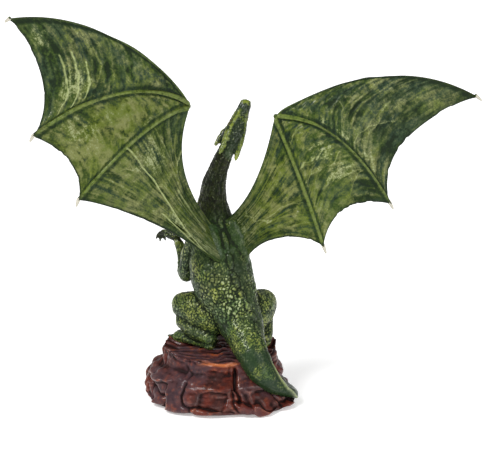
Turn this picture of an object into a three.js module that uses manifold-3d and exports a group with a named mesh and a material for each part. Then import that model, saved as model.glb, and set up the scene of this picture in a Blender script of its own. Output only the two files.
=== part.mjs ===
/**
 * Seated dragon on a rock plinth: a small moulded and hand-painted display figure.
 *
 * A slim dragon sits on its haunches on top of a rock. Its neck rises in an S and throws the head
 * back to look up, both wings are raised and spread, the arms are folded with the hands drooping,
 * and the tail runs down the rock behind and curls forward round its foot.
 *
 * The figure is four mouldings: the rock plinth, the dragon's body, and two wings that are glued
 * into the back on either side of the spine.
 *
 * Millimetres, +Z up. The origin is the middle of the plinth's flat underside. The dragon faces -Y,
 * so +X is its left-hand side.
 */
import * as THREE from 'three';
import { mergeVertices } from 'three/addons/utils/BufferGeometryUtils.js';
import Module from 'manifold-3d';

const wasm = await Module();
wasm.setup();

// ---------------------------------------------------------------- driving dimensions

const GLUE_GAP = 0.3; // clearance left between one moulding and the next

const PLINTH_HEIGHT = 20; // underside to the flat where the feet stand
const PLINTH_RADIUS = 28; // mean radius at the foot

const SPINE_SIDES = 16; // facets round the neck, trunk and tail
const SPINE_ROWS = 46;
const LIMB_SIDES = 9;
const SMALL_SIDES = 5; // toes, fingers, claws and spines

const SKIN_THICKNESS = 1.3; // wing membrane
const FINGER_THICK = 3.2; // a wing finger at the wrist
const FINGER_THIN = 1.7; // and at its tip
const SHOULDER_THICKNESS = 4.6; // the wing arm where it meets the back
const WRIST_RADIUS = 1.7;
const KNUCKLE = 1.2; // how far from the wrist's centre the skin begins
const CLAW_LENGTH = 2.4;
const CLAW_HOOK = [-0.6, -0.2, -1.2]; // the tip claws droop and lean by this much

// A station is [x, y, z, half width, half depth, roll in degrees] on a limb's centre line.
// Half width runs to the limb's left and right, half depth to its front and back.

const SPINE = [
  [-2.9, 1.0, 98.5, 2.6, 2.8, 0], // inside the skull
  [0.1, -0.3, 92, 3.1, 3.3, 0],
  [1.3, -3.7, 84.4, 3.9, 4.2, 0],
  [1.5, -6.4, 76, 5.2, 5.6, 0],
  [0.9, -6.3, 67.5, 7.8, 7.8, 0], // foot of the neck
  [0.2, -3.8, 57, 11.0, 10.4, 0], // chest
  [-0.2, -0.3, 46.7, 12.0, 11.0, 4],
  [-2.4, 3.6, 38.2, 10.6, 10.0, 8], // waist
  [-4.2, 8.4, 31.3, 8.8, 8.6, 16], // pelvis
  [-4.6, 15.6, 25.6, 7.1, 6.8, 34],
  [-5.6, 21.0, 19.6, 6.3, 5.8, 50],
  [-9.2, 23.6, 13, 5.2, 4.6, 60],
  [-15.4, 23.0, 7.2, 3.6, 3.2, 60],
  [-21.3, 20.0, 3.9, 2.4, 2.1, 50], // the tail turns forward here
  [-23.2, 8.8, 3.4, 1.8, 1.6, 30],
  [-24.8, -2.4, 4.8, 0.6, 0.6, 0], // tail tip
];

const LEFT_LEG = {
  thigh: [
    [-1.6, 5.6, 29.8, 6.4, 6.2],
    [5.2, -2.4, 32.8, 7.4, 7.4],
    [11.6, -8.8, 34.2, 6.0, 6.2],
    [16.2, -12.2, 33.4, 3.6, 3.4],
  ],
  shin: [
    [14.0, -10.8, 31.0, 3.9, 4.0],
    [10.2, -4.8, 27.0, 4.0, 4.4],
    [6.2, 1.6, 24.0, 3.2, 3.4],
    [5.0, 4.4, 21.4, 2.4, 2.4],
  ],
  heel: [5.2, 5.4, 21.4],
  ball: [12.3, -8.6, 21.8],
  toes: [
    [16.4, -13.0, 21.8],
    [13.6, -15.4, 21.6],
    [10.0, -14.8, 21.5],
  ],
};

const RIGHT_LEG = {
  thigh: [
    [-6.8, 7.0, 29.8, 6.4, 6.2],
    [-12.8, 1.4, 32.6, 7.2, 7.2],
    [-18.2, -3.6, 33.8, 6.0, 5.8],
    [-21.8, -6.2, 33.0, 3.6, 3.4],
  ],
  shin: [
    [-19.0, -5.2, 31.0, 3.6, 3.6],
    [-16.2, 0.8, 27.2, 3.6, 4.0],
    [-15.2, 5.6, 24.0, 3.0, 3.2],
    [-14.8, 8.2, 21.4, 2.3, 2.3],
  ],
  heel: [-14.5, 9.2, 21.4],
  ball: [-18.4, -4.2, 21.2],
  toes: [
    [-22.0, -9.0, 21.3],
    [-18.8, -11.0, 21.1],
    [-15.4, -10.2, 21.1],
  ],
};

const LEFT_ARM = {
  upper: [
    [7.2, -6.0, 62.0, 4.0, 4.4],
    [9.8, -9.6, 54.0, 3.1, 3.6],
    [10.7, -12.4, 43.2, 2.6, 2.8],
  ],
  fore: [
    [10.7, -13.0, 44.2, 2.6, 2.6],
    [10.8, -15.4, 52.6, 2.1, 2.4],
    [12.2, -18.0, 59.4, 1.5, 1.7],
  ],
  palm: [15.4, -22.6, 60.8],
  fingers: [
    [18.2, -27.2, 56.6],
    [16.2, -27.2, 55.6],
    [14.2, -25.6, 56.0],
  ],
  thumb: [12.4, -20.0, 55.4],
};

// A wing is a fan. Three fingers spread from the wrist, the skin between two neighbouring tips is
// cut back in a scallop, and the last panel runs from the third finger to the root on the back.
// A bow is how far the middle of a finger, or of the arm, stands off the straight line.
const LEFT_WING = {
  shoulder: [5.0, -1.0, 67.2],
  wrist: [17.0, 13.1, 116.6],
  rootFoot: [0.2, 7.4, 51.6],
  tips: [
    [84.0, 16.3, 151.8],
    [77.7, 20.7, 110.7],
    [61.6, 20.2, 86.3],
  ],
  bows: [
    [3.1, 8.5, 13.2],
    [2.4, 7.2, 10.6],
    [1.4, 4.3, 5.7],
    [0.5, 1.0, 0.0],
  ],
  bowPeak: 0.86, // below 1 the bows are fullest near the wrist, above 1 near the tips
  armBow: [7.4, 1.2, 0.2],
  scallops: [
    [8.8, 0.85],
    [6.2, 1],
    [4.2, 0.9],
  ],
};

const RIGHT_WING = {
  shoulder: [-1.6, -1.0, 69.0],
  wrist: [-17.2, 10.4, 110.4],
  rootFoot: [-8.0, 3.9, 51.4],
  tips: [
    [-96.5, 20.4, 114.2],
    [-59.2, 23.7, 76.0],
    [-31.0, 26.2, 62.4],
  ],
  bows: [
    [1.5, 2.0, 11.6],
    [1.4, 2.7, 10.3],
    [0.5, 1.1, 2.7],
    [-0.5, 1.0, 0.0],
  ],
  bowPeak: 1.14,
  armBow: [-1.4, 1.8, -4.8],
  scallops: [
    [13.4, 0.78],
    [8.0, 1],
    [7.6, 1.05],
  ],
};

// ---------------------------------------------------------------- solids from three.js geometry

const vec = (p) => new THREE.Vector3(p[0], p[1], p[2]);

/** A closed three.js geometry as a Manifold solid. */
function toSolid(geometry) {
  const bare = geometry.clone();
  bare.deleteAttribute('normal');
  bare.deleteAttribute('uv');
  const merged = mergeVertices(bare, 1e-4);
  return new wasm.Manifold(
    new wasm.Mesh({
      numProp: 3,
      vertProperties: new Float32Array(merged.attributes.position.array),
      triVerts: new Uint32Array(merged.index.array),
    }),
  );
}

const fuse = (solids) => wasm.Manifold.union(solids);

/** A Manifold solid as a named three.js mesh. */
function toMesh(name, solid, material) {
  const { vertProperties, triVerts } = solid.getMesh();
  const geometry = new THREE.BufferGeometry();
  geometry.setAttribute('position', new THREE.BufferAttribute(vertProperties, 3));
  geometry.setIndex(new THREE.BufferAttribute(triVerts, 1));
  geometry.computeVertexNormals();
  const mesh = new THREE.Mesh(geometry, material);
  mesh.name = name;
  return mesh;
}

/** The line, the section sizes and the roll along a list of stations, all smooth in t from 0 to 1. */
function stationCurves(stations) {
  const smooth = (points) => new THREE.CatmullRomCurve3(points.map(vec), false, 'catmullrom', 0.5);
  return {
    line: smooth(stations),
    size: smooth(stations.map((s) => [s[3], s[4], s[5] ?? 0])),
  };
}

/**
 * A limb: an elliptical section carried along its stations, with domed ends.
 * A sphere's own grid is bent along the line, so each row of the sphere is one section.
 * `side` is the direction that the half width is measured in, `crest` gives the height of the
 * ridge along the back for a row, and `grow` swells the whole limb, for cutting a seat with clearance.
 */
function limb(stations, options = {}) {
  const { sides = LIMB_SIDES, rows = 8, side = [1, 0, 0], crest = () => 0, grow = 0, dome = 0.12 } = options;
  const { line, size } = stationCurves(stations);
  const geometry = new THREE.SphereGeometry(1, sides, rows);
  const position = geometry.attributes.position;
  for (let i = 0; i < position.count; i += 1) {
    const row = Math.floor(i / (sides + 1));
    const angle = ((i % (sides + 1)) / sides) * 2 * Math.PI;
    const t = row / rows;
    const tangent = line.getTangent(t);
    const section = size.getPoint(t);
    const left = vec(side).addScaledVector(tangent, -vec(side).dot(tangent)).normalize();
    left.applyAxisAngle(tangent, -THREE.MathUtils.degToRad(section.z));
    const back = left.clone().cross(tangent);
    const toEnd = Math.min(t, 1 - t, dome) / dome;
    const domed = Math.sqrt(Math.max(0, 1 - (1 - toEnd) ** 2));
    const ridge = crest(row) * Math.max(0, Math.sin(angle)) ** 10;
    const point = line
      .getPoint(t)
      .addScaledVector(left, domed * (section.x + grow) * Math.cos(angle))
      .addScaledVector(back, domed * (section.y + grow) * Math.sin(angle) + ridge * domed);
    position.setXYZ(i, point.x, point.y, point.z);
  }
  return outwards(geometry);
}

/** Makes a bent sphere's faces point out, whichever way its line ran. */
function outwards(geometry) {
  const solid = toSolid(geometry);
  if (solid.volume() > 0) {
    return solid;
  }
  const index = geometry.index.array;
  for (let i = 0; i < index.length; i += 3) {
    [index[i], index[i + 1]] = [index[i + 1], index[i]];
  }
  return toSolid(geometry);
}

/**
 * A tapered spike from one point to another, such as a horn, a claw or a finger. It is rooted a
 * little behind the first point, so that it joins what it grows from.
 */
function spike(from, to, thick, thin, options = {}) {
  const root = vec(from).addScaledVector(vec(to).sub(vec(from)).normalize(), -0.8 * thick);
  const middle = vec(from).lerp(vec(to), 0.5).add(vec(options.bow ?? [0, 0, 0]));
  const between = (thick + thin) / 2;
  return limb(
    [
      [...root.toArray(), thick, thick],
      [middle.x, middle.y, middle.z, between, between],
      [...to, thin, thin],
    ],
    { sides: SMALL_SIDES, rows: 4, dome: 0.25, ...options },
  );
}

// ---------------------------------------------------------------- dragon: trunk, head, limbs

/** Height of the crest on one row of the trunk: every second row stands up as a spine plate. */
function spinePlate(row) {
  const onBody = Math.sin((Math.PI * row) / SPINE_ROWS);
  return row % 2 === 1 ? 0.5 + 0.9 * onBody : 0.1;
}

/** The neck, trunk and tail in one sweep, with the row of spine plates down the back. */
const trunk = (grow = 0) =>
  limb(SPINE, { sides: SPINE_SIDES, rows: SPINE_ROWS, crest: spinePlate, grow, dome: 0.02 });

// The head has its own axes: `ahead` runs from the nape to the snout, `crown` out of the top of
// the skull.
const NAPE = vec([-2.7, 0.8, 97.2]);
const AHEAD = vec([-9.2, -5.8, 16.8]).normalize();
const CROWN = vec([0.1, 1, 0.2]).addScaledVector(AHEAD, -vec([0.1, 1, 0.2]).dot(AHEAD)).normalize();
const HEAD_LEFT = AHEAD.clone().cross(CROWN).negate();

/** A point in the head's own axes: so far ahead of the nape, to the left, and towards the crown. */
function inHead(ahead, left, crown) {
  const p = NAPE.clone()
    .addScaledVector(AHEAD, ahead)
    .addScaledVector(HEAD_LEFT, left)
    .addScaledVector(CROWN, crown);
  return [p.x, p.y, p.z];
}

/** Skull and snout, lower jaw, horns, brow ridges, cheek spines and eyes. */
function head() {
  const along = { side: HEAD_LEFT.toArray(), sides: 10, dome: 0.12 };
  const skull = [
    [...inHead(-2, 0, 0), 2.8, 2.4],
    [...inHead(2, 0, 0.5), 3.9, 2.7],
    [...inHead(6.5, 0, 0.7), 4.1, 2.7],
    [...inHead(11, 0, 0.2), 3.3, 2.1],
    [...inHead(16, 0, -0.1), 2.6, 1.8],
    [...inHead(20.8, 0, -0.1), 2.2, 1.5],
  ];
  const jaw = [
    [...inHead(0, 0, -2.6), 3.0, 1.5],
    [...inHead(4.5, 0, -3.3), 4.2, 1.5],
    [...inHead(10, 0, -3.6), 3.1, 1.1],
    [...inHead(17.5, 0, -3.9), 1.9, 0.9],
  ];
  const solids = [limb(skull, { ...along, rows: 9 }), limb(jaw, { ...along, rows: 7 })];
  for (const s of [1, -1]) {
    const brow = [inHead(15, 1.3 * s, 1.2), inHead(2.4, 2.9 * s, 2.3)];
    const horn = [inHead(4.0, 2.7 * s, 2.0), inHead(-4.4, 3.3 * s, 2.4)];
    const cheek = [inHead(6.0, 3.2 * s, -2.8), inHead(-0.6, 5.0 * s, -3.2)];
    solids.push(spike(...brow, 0.6, 1.4), spike(...horn, 1.5, 0.7), spike(...cheek, 1.5, 0.7));
    const eye = new THREE.SphereGeometry(1.0, SMALL_SIDES, 4);
    eye.translate(...inHead(8.4, 3.3 * s, 0.3));
    solids.push(toSolid(eye));
  }
  return fuse(solids);
}

/** One hind leg, folded: thigh, shin, and a long foot with three clawed toes. */
function leg({ thigh, shin, heel, ball, toes }, grow = 0) {
  const solids = [
    limb(thigh, { side: [0, 0, 1], rows: 9, sides: 10, grow, dome: 0.16 }),
    limb(shin, { side: [0, 0, 1], rows: 7, grow, dome: 0.16 }),
    limb(
      [
        [...heel, 2.1, 1.7],
        [...vec(heel).lerp(vec(ball), 0.5).toArray(), 2.3, 1.6],
        [...ball, 3.0, 1.7],
      ],
      { side: [1, 0.4, 0], rows: 6, grow, dome: 0.2 },
    ),
  ];
  for (const toe of toes) {
    const knuckle = vec(ball).lerp(vec(toe), 0.8);
    const claw = vec(toe).addScaledVector(vec(toe).sub(vec(ball)).normalize(), 2.2);
    solids.push(
      spike(ball, knuckle.toArray(), 2.3, 2.0, { grow }),
      spike(knuckle.toArray(), [claw.x, claw.y, claw.z - 0.4], 1.1, 0.4, { grow }),
    );
  }
  return fuse(solids);
}

/** One arm, folded at the elbow, with the hand drooping from the wrist. */
function arm({ upper, fore, palm, fingers, thumb }) {
  const wrist = fore[fore.length - 1].slice(0, 3);
  const solids = [
    limb(upper, { side: [0, 1, 0], rows: 7, dome: 0.16 }),
    limb(fore, { side: [0, 1, 0], rows: 7, dome: 0.16 }),
    spike(wrist, palm, 1.6, 1.9),
    spike(wrist, thumb, 1.1, 0.4),
  ];
  for (const tip of fingers) {
    solids.push(spike(palm, tip, 1.25, 0.45, { bow: [0.4, -0.8, 0.8] }));
  }
  return fuse(solids);
}

/** The same arm on the other side. */
function mirrored({ upper, fore, palm, fingers, thumb }) {
  const flip = ([x, ...rest]) => [-x, ...rest];
  return {
    upper: upper.map(flip),
    fore: fore.map(flip),
    palm: flip(palm),
    fingers: fingers.map(flip),
    thumb: flip(thumb),
  };
}

/** Everything of the body that touches the plinth or a wing, swollen by `grow` to cut clearance. */
const seatCutter = (grow) => fuse([trunk(grow), leg(LEFT_LEG, grow), leg(RIGHT_LEG, grow)]);

const dragonBody = () =>
  fuse([
    trunk(),
    head(),
    leg(LEFT_LEG),
    leg(RIGHT_LEG),
    arm(LEFT_ARM),
    arm(mirrored(LEFT_ARM)),
  ]);

// ---------------------------------------------------------------- wings

/** A line from a to b whose middle stands off by `bow`. */
function bowed(a, b, bow) {
  const control = vec(a).add(vec(b)).multiplyScalar(0.5).addScaledVector(vec(bow), 2);
  return new THREE.QuadraticBezierCurve3(vec(a), control, vec(b));
}

/** The smooth in-between of four values given at 0, 1, 2 and 3. */
const blendBows = (bows) => new THREE.CatmullRomCurve3(bows.map(vec), false, 'catmullrom', 0.5);

/**
 * The wing's middle surface: u runs from 0 at the leading finger to 3 at the root, whole numbers being
 * the fingers, and v runs from 0 at the wrist or arm to 1 at the trailing edge.
 */
function wingSurface({ shoulder, wrist, rootFoot, tips, bows, bowPeak, armBow, scallops }) {
  const armLine = bowed(wrist, shoulder, armBow);
  const bowAt = blendBows(bows);
  const ends = [...tips, rootFoot].map(vec);
  return (u, v) => {
    const panel = Math.min(2, Math.floor(u));
    const share = u - panel;
    const [depth, skew] = scallops[panel];
    const along = share ** skew;
    const outer = ends[panel].clone().lerp(ends[panel + 1], share);
    const inner = panel < 2 ? vec(wrist) : armLine.getPoint(share);
    const inward = inner.clone().sub(outer).normalize();
    outer.addScaledVector(inward, depth * (4 * along * (1 - along)) ** 0.65);
    inner.addScaledVector(inward, panel < 2 ? -KNUCKLE : -KNUCKLE * (1 - share));
    const full = v ** bowPeak;
    return inner.lerp(outer, v).addScaledVector(bowAt.getPoint(u / 3), 4 * full * (1 - full));
  };
}

/** Where the grid's columns lie at a given v: one on each finger, one close by on either side. */
function wingColumns(v) {
  const beside = Math.min(0.25, 0.042 / Math.max(v, 0.01));
  const columns = [];
  for (let panel = 0; panel < 3; panel += 1) {
    columns.push(panel);
    for (const share of [0, 0.12, 0.36, 0.64, 0.88, 1]) {
      columns.push(panel + THREE.MathUtils.lerp(beside, 1 - beside, share));
    }
  }
  columns.push(3);
  return columns;
}

/** Thickness of the wing: thin skin, with ridges along the fingers and the arm. */
function wingThickness(u, v) {
  const onFinger = Number.isInteger(u) && u < 3;
  const finger = onFinger ? THREE.MathUtils.lerp(FINGER_THICK, FINGER_THIN, v) : 0;
  const armShape = Math.max(0, 1 - (v / 0.16) ** 2);
  const arm = u >= 2 ? THREE.MathUtils.lerp(FINGER_THICK, SHOULDER_THICKNESS, u - 2) * armShape : 0;
  const hem = v === 1 && !onFinger ? 0.7 : 1;
  return Math.max(finger, arm, SKIN_THICKNESS * hem);
}

/** The middle surface given its thickness and closed round the rim. */
function wingSheet(surface) {
  const rows = [0, 0.05, 0.12, 0.28, 0.46, 0.64, 0.82, 1];
  const grid = rows.map((v) => wingColumns(v).map((u) => ({ v, u, at: surface(u, v) })));
  const high = rows.length;
  const wide = grid[0].length;
  const points = [];
  for (const face of [1, -1]) {
    for (let j = 0; j < high; j += 1) {
      for (let i = 0; i < wide; i += 1) {
        const { u, v, at } = grid[j][i];
        const alongU = grid[j][Math.min(wide - 1, i + 1)].at.clone().sub(grid[j][Math.max(0, i - 1)].at);
        const alongV = grid[Math.min(high - 1, j + 1)][i].at.clone().sub(grid[Math.max(0, j - 1)][i].at);
        const normal = alongU.cross(alongV).normalize();
        points.push(at.clone().addScaledVector(normal, (face * wingThickness(u, v)) / 2));
      }
    }
  }
  const under = high * wide;
  const index = [];
  const quad = (a, b, c, d) => index.push(a, b, c, a, c, d);
  for (let j = 0; j < high - 1; j += 1) {
    for (let i = 0; i < wide - 1; i += 1) {
      const k = j * wide + i;
      quad(k, k + 1, k + wide + 1, k + wide);
      quad(under + k, under + k + wide, under + k + wide + 1, under + k + 1);
    }
    const first = j * wide;
    const last = first + wide - 1;
    quad(first, first + wide, under + first + wide, under + first);
    quad(last, under + last, under + last + wide, last + wide);
  }
  for (let i = 0; i < wide - 1; i += 1) {
    const last = (high - 1) * wide + i;
    quad(i, under + i, under + i + 1, i + 1);
    quad(last, last + 1, under + last + 1, under + last);
  }
  const geometry = new THREE.BufferGeometry().setFromPoints(points);
  geometry.setIndex(index);
  return outwards(geometry);
}

/** The largest single piece of a solid that a cut may have left in several. */
const largest = (solid) => solid.decompose().sort((a, b) => b.volume() - a.volume())[0];

/** One wing: skin with its ridges, the wrist knuckle and the claw at each finger's tip. */
function wing(shape) {
  const surface = wingSurface(shape);
  const wrist = new THREE.SphereGeometry(WRIST_RADIUS, 8, 5);
  wrist.translate(...shape.wrist);
  const solids = [wingSheet(surface), toSolid(wrist)];
  for (let finger = 0; finger < 3; finger += 1) {
    const tip = surface(finger, 0.985);
    const reach = tip.clone().sub(surface(finger, 0.9)).setLength(CLAW_LENGTH);
    const end = tip.clone().add(reach).add(vec(CLAW_HOOK));
    solids.push(spike(tip.toArray(), end.toArray(), 0.9, 0.35));
  }
  return largest(fuse(solids).subtract(trunk(GLUE_GAP)));
}

// ---------------------------------------------------------------- plinth

/** Repeatable scatter from 0 to 1 for a pair of whole numbers. */
function scatter(i, j) {
  const s = Math.sin(i * 127.1 + j * 311.7) * 43758.5453;
  return s - Math.floor(s);
}

/** A rounded lump of a given width and height centred `at` some direction, in degrees round from +X. */
function lump(direction, at, width, height) {
  const away = Math.abs(((direction - at + 540) % 360) - 180) / width;
  return height * Math.max(0, 1 - away ** 2);
}

/** How far the foot of the rock bulges in a direction. */
function bulge(direction) {
  const lobe = (at, width, height) => lump(direction, at, width, height);
  return lobe(140, 20, 1.4) + lobe(115, 34, 3.2) + lobe(5, 40, 1.6) + lobe(60, 22, 0.6);
}

/** How far the flank is cut back for the shelf that the end of the tail lies on. */
const shelf = (direction) => lump(direction, 176, 46, 5.5);

/** How far the rim of the rock's top stands up in a direction. */
function crag(direction) {
  return lump(direction, 168, 16, 2.4) + lump(direction, -34, 18, 1.4);
}

/** The rock: stepped beds of stone round a flat underside, with a rough, nearly flat top. */
function rock() {
  const RIM = 8; // the bed at the edge of the top
  const around = 26;
  // [height, radius, shift towards +X, roughness, share of the foot's bulge, share of the shelf]
  const beds = [
    [0, PLINTH_RADIUS - 0.4, 0.2, 0.6, 1, 0],
    [1.8, PLINTH_RADIUS + 0.3, 0.4, 0.7, 1, 0],
    [3.2, PLINTH_RADIUS + 0.2, 0.6, 0.9, 0.8, 1],
    [7.5, PLINTH_RADIUS - 0.6, 1.6, 1.2, 0.1, 0.6],
    [11.2, PLINTH_RADIUS - 1.8, 2.7, 1.2, 0, 0],
    [13.2, PLINTH_RADIUS - 3.6, 2.4, 1.2, 0, 0],
    [15.0, PLINTH_RADIUS - 5.8, 1.2, 0.8, 0, 0],
    [18.0, PLINTH_RADIUS - 6.0, 1.1, 0.9, 0, 0],
    [PLINTH_HEIGHT + 0.6, PLINTH_RADIUS - 6.2, 1.0, 0.8, 0, 0],
    [PLINTH_HEIGHT, PLINTH_RADIUS - 12, 1, 0.8, 0, 0],
  ];
  const points = [new THREE.Vector3(0, 0, 0)];
  beds.forEach(([height, radius, shift, rough, ...shares], bed) => {
    for (let i = 0; i < around; i += 1) {
      const turn = (i + 0.5 * (bed % 2)) / around;
      const lumps = shares[0] * bulge(360 * turn) - shares[1] * shelf(360 * turn);
      const reach = radius + rough * (scatter(i, bed) * 2 - 1) + lumps;
      const ragged = bed === 0 ? 0 : (scatter(i + 50, bed) - 0.5) * 1.2;
      const lift = ragged + (bed === RIM ? crag(360 * turn) : 0);
      const angle = 2 * Math.PI * turn;
      points.push(new THREE.Vector3(shift + reach * Math.cos(angle), reach * Math.sin(angle), height + lift));
    }
  });
  points.push(new THREE.Vector3(0, 0, PLINTH_HEIGHT));
  const index = [];
  const at = (bed, i) => 1 + bed * around + (i % around);
  for (let i = 0; i < around; i += 1) {
    index.push(0, at(0, i + 1), at(0, i));
    index.push(points.length - 1, at(beds.length - 1, i), at(beds.length - 1, i + 1));
    for (let bed = 0; bed < beds.length - 1; bed += 1) {
      const [a, b, c, d] = [at(bed, i), at(bed, i + 1), at(bed + 1, i + 1), at(bed + 1, i)];
      index.push(a, b, c, a, c, d);
    }
  }
  const geometry = new THREE.BufferGeometry().setFromPoints(points);
  geometry.setIndex(index);
  return outwards(geometry);
}

/** The plinth, cut away with clearance where the dragon is seated in it. */
const plinth = () => rock().subtract(seatCutter(GLUE_GAP));

// ---------------------------------------------------------------- the figure

const hide = new THREE.MeshStandardMaterial({ color: 0x4f6234, roughness: 0.5, metalness: 0 });
const skin = new THREE.MeshStandardMaterial({ color: 0x566a3a, roughness: 0.45, metalness: 0 });
const stone = new THREE.MeshStandardMaterial({ color: 0x6b3d30, roughness: 0.6, metalness: 0 });

const figure = new THREE.Group();
figure.add(toMesh('rock_plinth', plinth(), stone));
figure.add(toMesh('dragon_body', dragonBody(), hide));
figure.add(toMesh('left_wing', wing(LEFT_WING), skin));
figure.add(toMesh('right_wing', wing(RIGHT_WING), skin));

export default figure;
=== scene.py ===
# %% [markdown]
# # A seated dragon, moulded and painted
#
# The real object is a small display figure: a dragon on a rock, cast in four mouldings and
# painted by hand. Such a figure can be sculpted by hand in Blender, but a sculpt can't be read
# or changed later. Here every surface is worked out with numpy instead: a limb is a section
# carried along a line, a wing is a fan of two parameters, and the rock is a stack of beds.
# The lines are the ones that the solid model was built from, so each piece fits its solid.

import bpy
import numpy as np
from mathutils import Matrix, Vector


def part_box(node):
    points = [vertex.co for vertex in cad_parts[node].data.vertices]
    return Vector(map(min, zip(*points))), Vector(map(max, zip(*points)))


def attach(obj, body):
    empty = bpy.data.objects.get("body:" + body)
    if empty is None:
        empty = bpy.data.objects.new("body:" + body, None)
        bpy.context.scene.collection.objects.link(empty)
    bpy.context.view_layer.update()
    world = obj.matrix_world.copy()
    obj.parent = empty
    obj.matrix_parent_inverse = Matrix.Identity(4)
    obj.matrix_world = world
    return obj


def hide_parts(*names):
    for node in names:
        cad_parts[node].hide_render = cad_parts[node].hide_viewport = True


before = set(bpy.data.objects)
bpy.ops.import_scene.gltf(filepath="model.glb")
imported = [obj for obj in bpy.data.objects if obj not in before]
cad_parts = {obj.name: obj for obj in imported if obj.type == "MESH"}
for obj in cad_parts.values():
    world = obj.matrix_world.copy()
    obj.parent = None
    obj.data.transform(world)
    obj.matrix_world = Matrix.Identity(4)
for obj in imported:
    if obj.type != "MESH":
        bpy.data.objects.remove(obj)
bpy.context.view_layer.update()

MM = 0.001  # all sizes below are in millimetres, and meshes are made in metres

# %% [markdown]
# ## Small tools: smooth lines and repeatable noise
#
# A smooth line through a few chosen points is the base of every limb. Blender's curves could
# carry it, but a formula is easier to reuse for the width of a limb as well as for its place.
# The roughness of a casting needs noise that is the same on each run, so it is made from a
# fixed scramble of whole numbers rather than from a random generator.

# %% Smooth lines
def along(points, t):
    """Catmull-Rom line: the cubic through four neighbours in turn, where each inner point's
    slope is half the step between its neighbours. t is 0 at the first point, 1 at the last."""
    p = np.asarray(points, float)
    p = np.vstack([2 * p[0] - p[1], p, 2 * p[-1] - p[-2]])
    place = held(np.asarray(t, float)) * (len(p) - 3)
    i = np.minimum(place.astype(int), len(p) - 4)
    f = (place - i)[..., None]
    a, b, c, d = p[i], p[i + 1], p[i + 2], p[i + 3]
    return 0.5 * (2 * b + (c - a) * f + (2 * a - 5 * b + 4 * c - d) * f**2
                  + (3 * b - a - 3 * c + d) * f**3)


def unit(v):
    """Vectors shortened or stretched to length one."""
    return v / np.maximum(np.linalg.norm(v, axis=-1, keepdims=True), 1e-9)


def lerp(a, b, t):
    """Straight mix of a and b."""
    return a + (b - a) * t


def held(x):
    """x held between 0 and 1."""
    return np.clip(x, 0, 1)


def rise(low, high, x):
    """Smooth step: 0 below low, 1 above high, and 3x^2 - 2x^3 between."""
    x = held((x - low) / (high - low))
    return x * x * (3 - 2 * x)


def bell(x, middle, width):
    """A bump: 1 at its middle, and e^-(distance / width)^2 away from it."""
    return np.exp(-((x - middle) / width) ** 2)


def quarter(distance, width):
    """A quarter circle: 0 at the rim, 1 from `width` inwards."""
    return np.sqrt(1 - (1 - held(distance / width)) ** 2)

# %% Repeatable noise
def scramble(cells, seed):
    """One fixed number from 0 to 1 for each whole-number cell, by multiplying and folding bits."""
    c = cells.astype(np.int64)
    h = c[..., 0] * 73856093 ^ c[..., 1] * 19349663 ^ c[..., 2] * 83492791 ^ (seed * 40503 + 977)
    h = (h ^ (h >> 13)) * 1274126177 & 0xFFFFFFFF
    h = (h ^ (h >> 15)) * 2246822519 & 0xFFFFFFFF
    return ((h ^ (h >> 16)) & 0xFFFF) / 65535.0


def cloud(points, seed):
    """Value noise: the eight corners of each cell mixed smoothly, 0 to 1."""
    p = np.asarray(points, float)
    cell = np.floor(p)
    f = p - cell
    f = f * f * (3 - 2 * f)
    total = 0.0
    for corner in np.ndindex(2, 2, 2):
        k = np.array(corner)
        weight = np.prod(np.where(k == 1, f, 1 - f), axis=-1)
        total = total + weight * scramble(cell + k, seed)
    return total


def clouds(points, octaves, seed):
    """Several sizes of value noise, each half the size and half the strength of the last."""
    total, strength, reach = 0.0, 1.0, 0.0
    for octave in range(octaves):
        total = total + strength * cloud(np.asarray(points) * 2.0**octave, seed + octave)
        reach += strength
        strength *= 0.5
    return total / reach


def pebbles(points, seed):
    """Cells round scattered seeds, one per unit cube. Gives the distance to the nearest seed,
    the distance to the next one, a fixed number for the cell, and the way from its seed."""
    p = np.asarray(points, float)
    cell = np.floor(p)
    first = np.full(p.shape[:-1], 9.0)
    second = first.copy()
    own = np.zeros(p.shape[:-1])
    way = np.zeros(p.shape)
    for step in np.ndindex(3, 3, 3):
        near = cell + np.array(step) - 1
        jitter = np.stack([scramble(near, seed + k) for k in range(3)], -1)
        here = p - (near + 0.15 + 0.7 * jitter)
        away = np.linalg.norm(here, axis=-1)
        closer = away < first
        way = np.where(closer[..., None], here, way)
        second = np.where(closer, first, np.minimum(second, away))
        own = np.where(closer, scramble(near, seed + 7), own)
        first = np.where(closer, away, first)
    return first, second, own, way


print("noise check:", np.round(cloud(np.array([[0.5, 0.5, 0.5], [3.2, 1.1, 7.9]]), 1), 3))

# %% [markdown]
# ## From arrays to Blender meshes
#
# A grid of points becomes a mesh when its rows and columns are joined by quads. A tube closes
# round its columns and gets one pole point at each end, so that no hole is left. Numbers that
# belong to the surface, such as how far a scale stands up, are stored on the mesh's points, and
# the paint reads them later.

# %% Meshes from grids
def tube(rings):
    """Faces and points of a closed tube: rings of points, with a pole in the middle of each end."""
    rows, sides = rings.shape[:2]
    points = np.vstack([rings[:1].mean(axis=1), rings.reshape(-1, 3), rings[-1:].mean(axis=1)])
    index = 1 + np.arange(rows * sides).reshape(rows, sides)
    turned = np.roll(index, -1, axis=1)
    body = np.stack([index[:-1], turned[:-1], turned[1:], index[1:]], -1).reshape(-1, 4)
    start = np.stack([np.zeros(sides, int), turned[0], index[0], index[0]], -1)
    end = np.stack([np.full(sides, len(points) - 1), index[-1], turned[-1], turned[-1]], -1)
    return points, np.vstack([body, start, end])


def volume(points, quads):
    """Signed volume: positive when the faces point outwards."""
    a, b, c, d = (points[quads[:, k]] for k in range(4))
    halves = np.einsum("ij,ij->i", a, np.cross(b, c)) + np.einsum("ij,ij->i", a, np.cross(c, d))
    return float(halves.sum()) / 6


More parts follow.
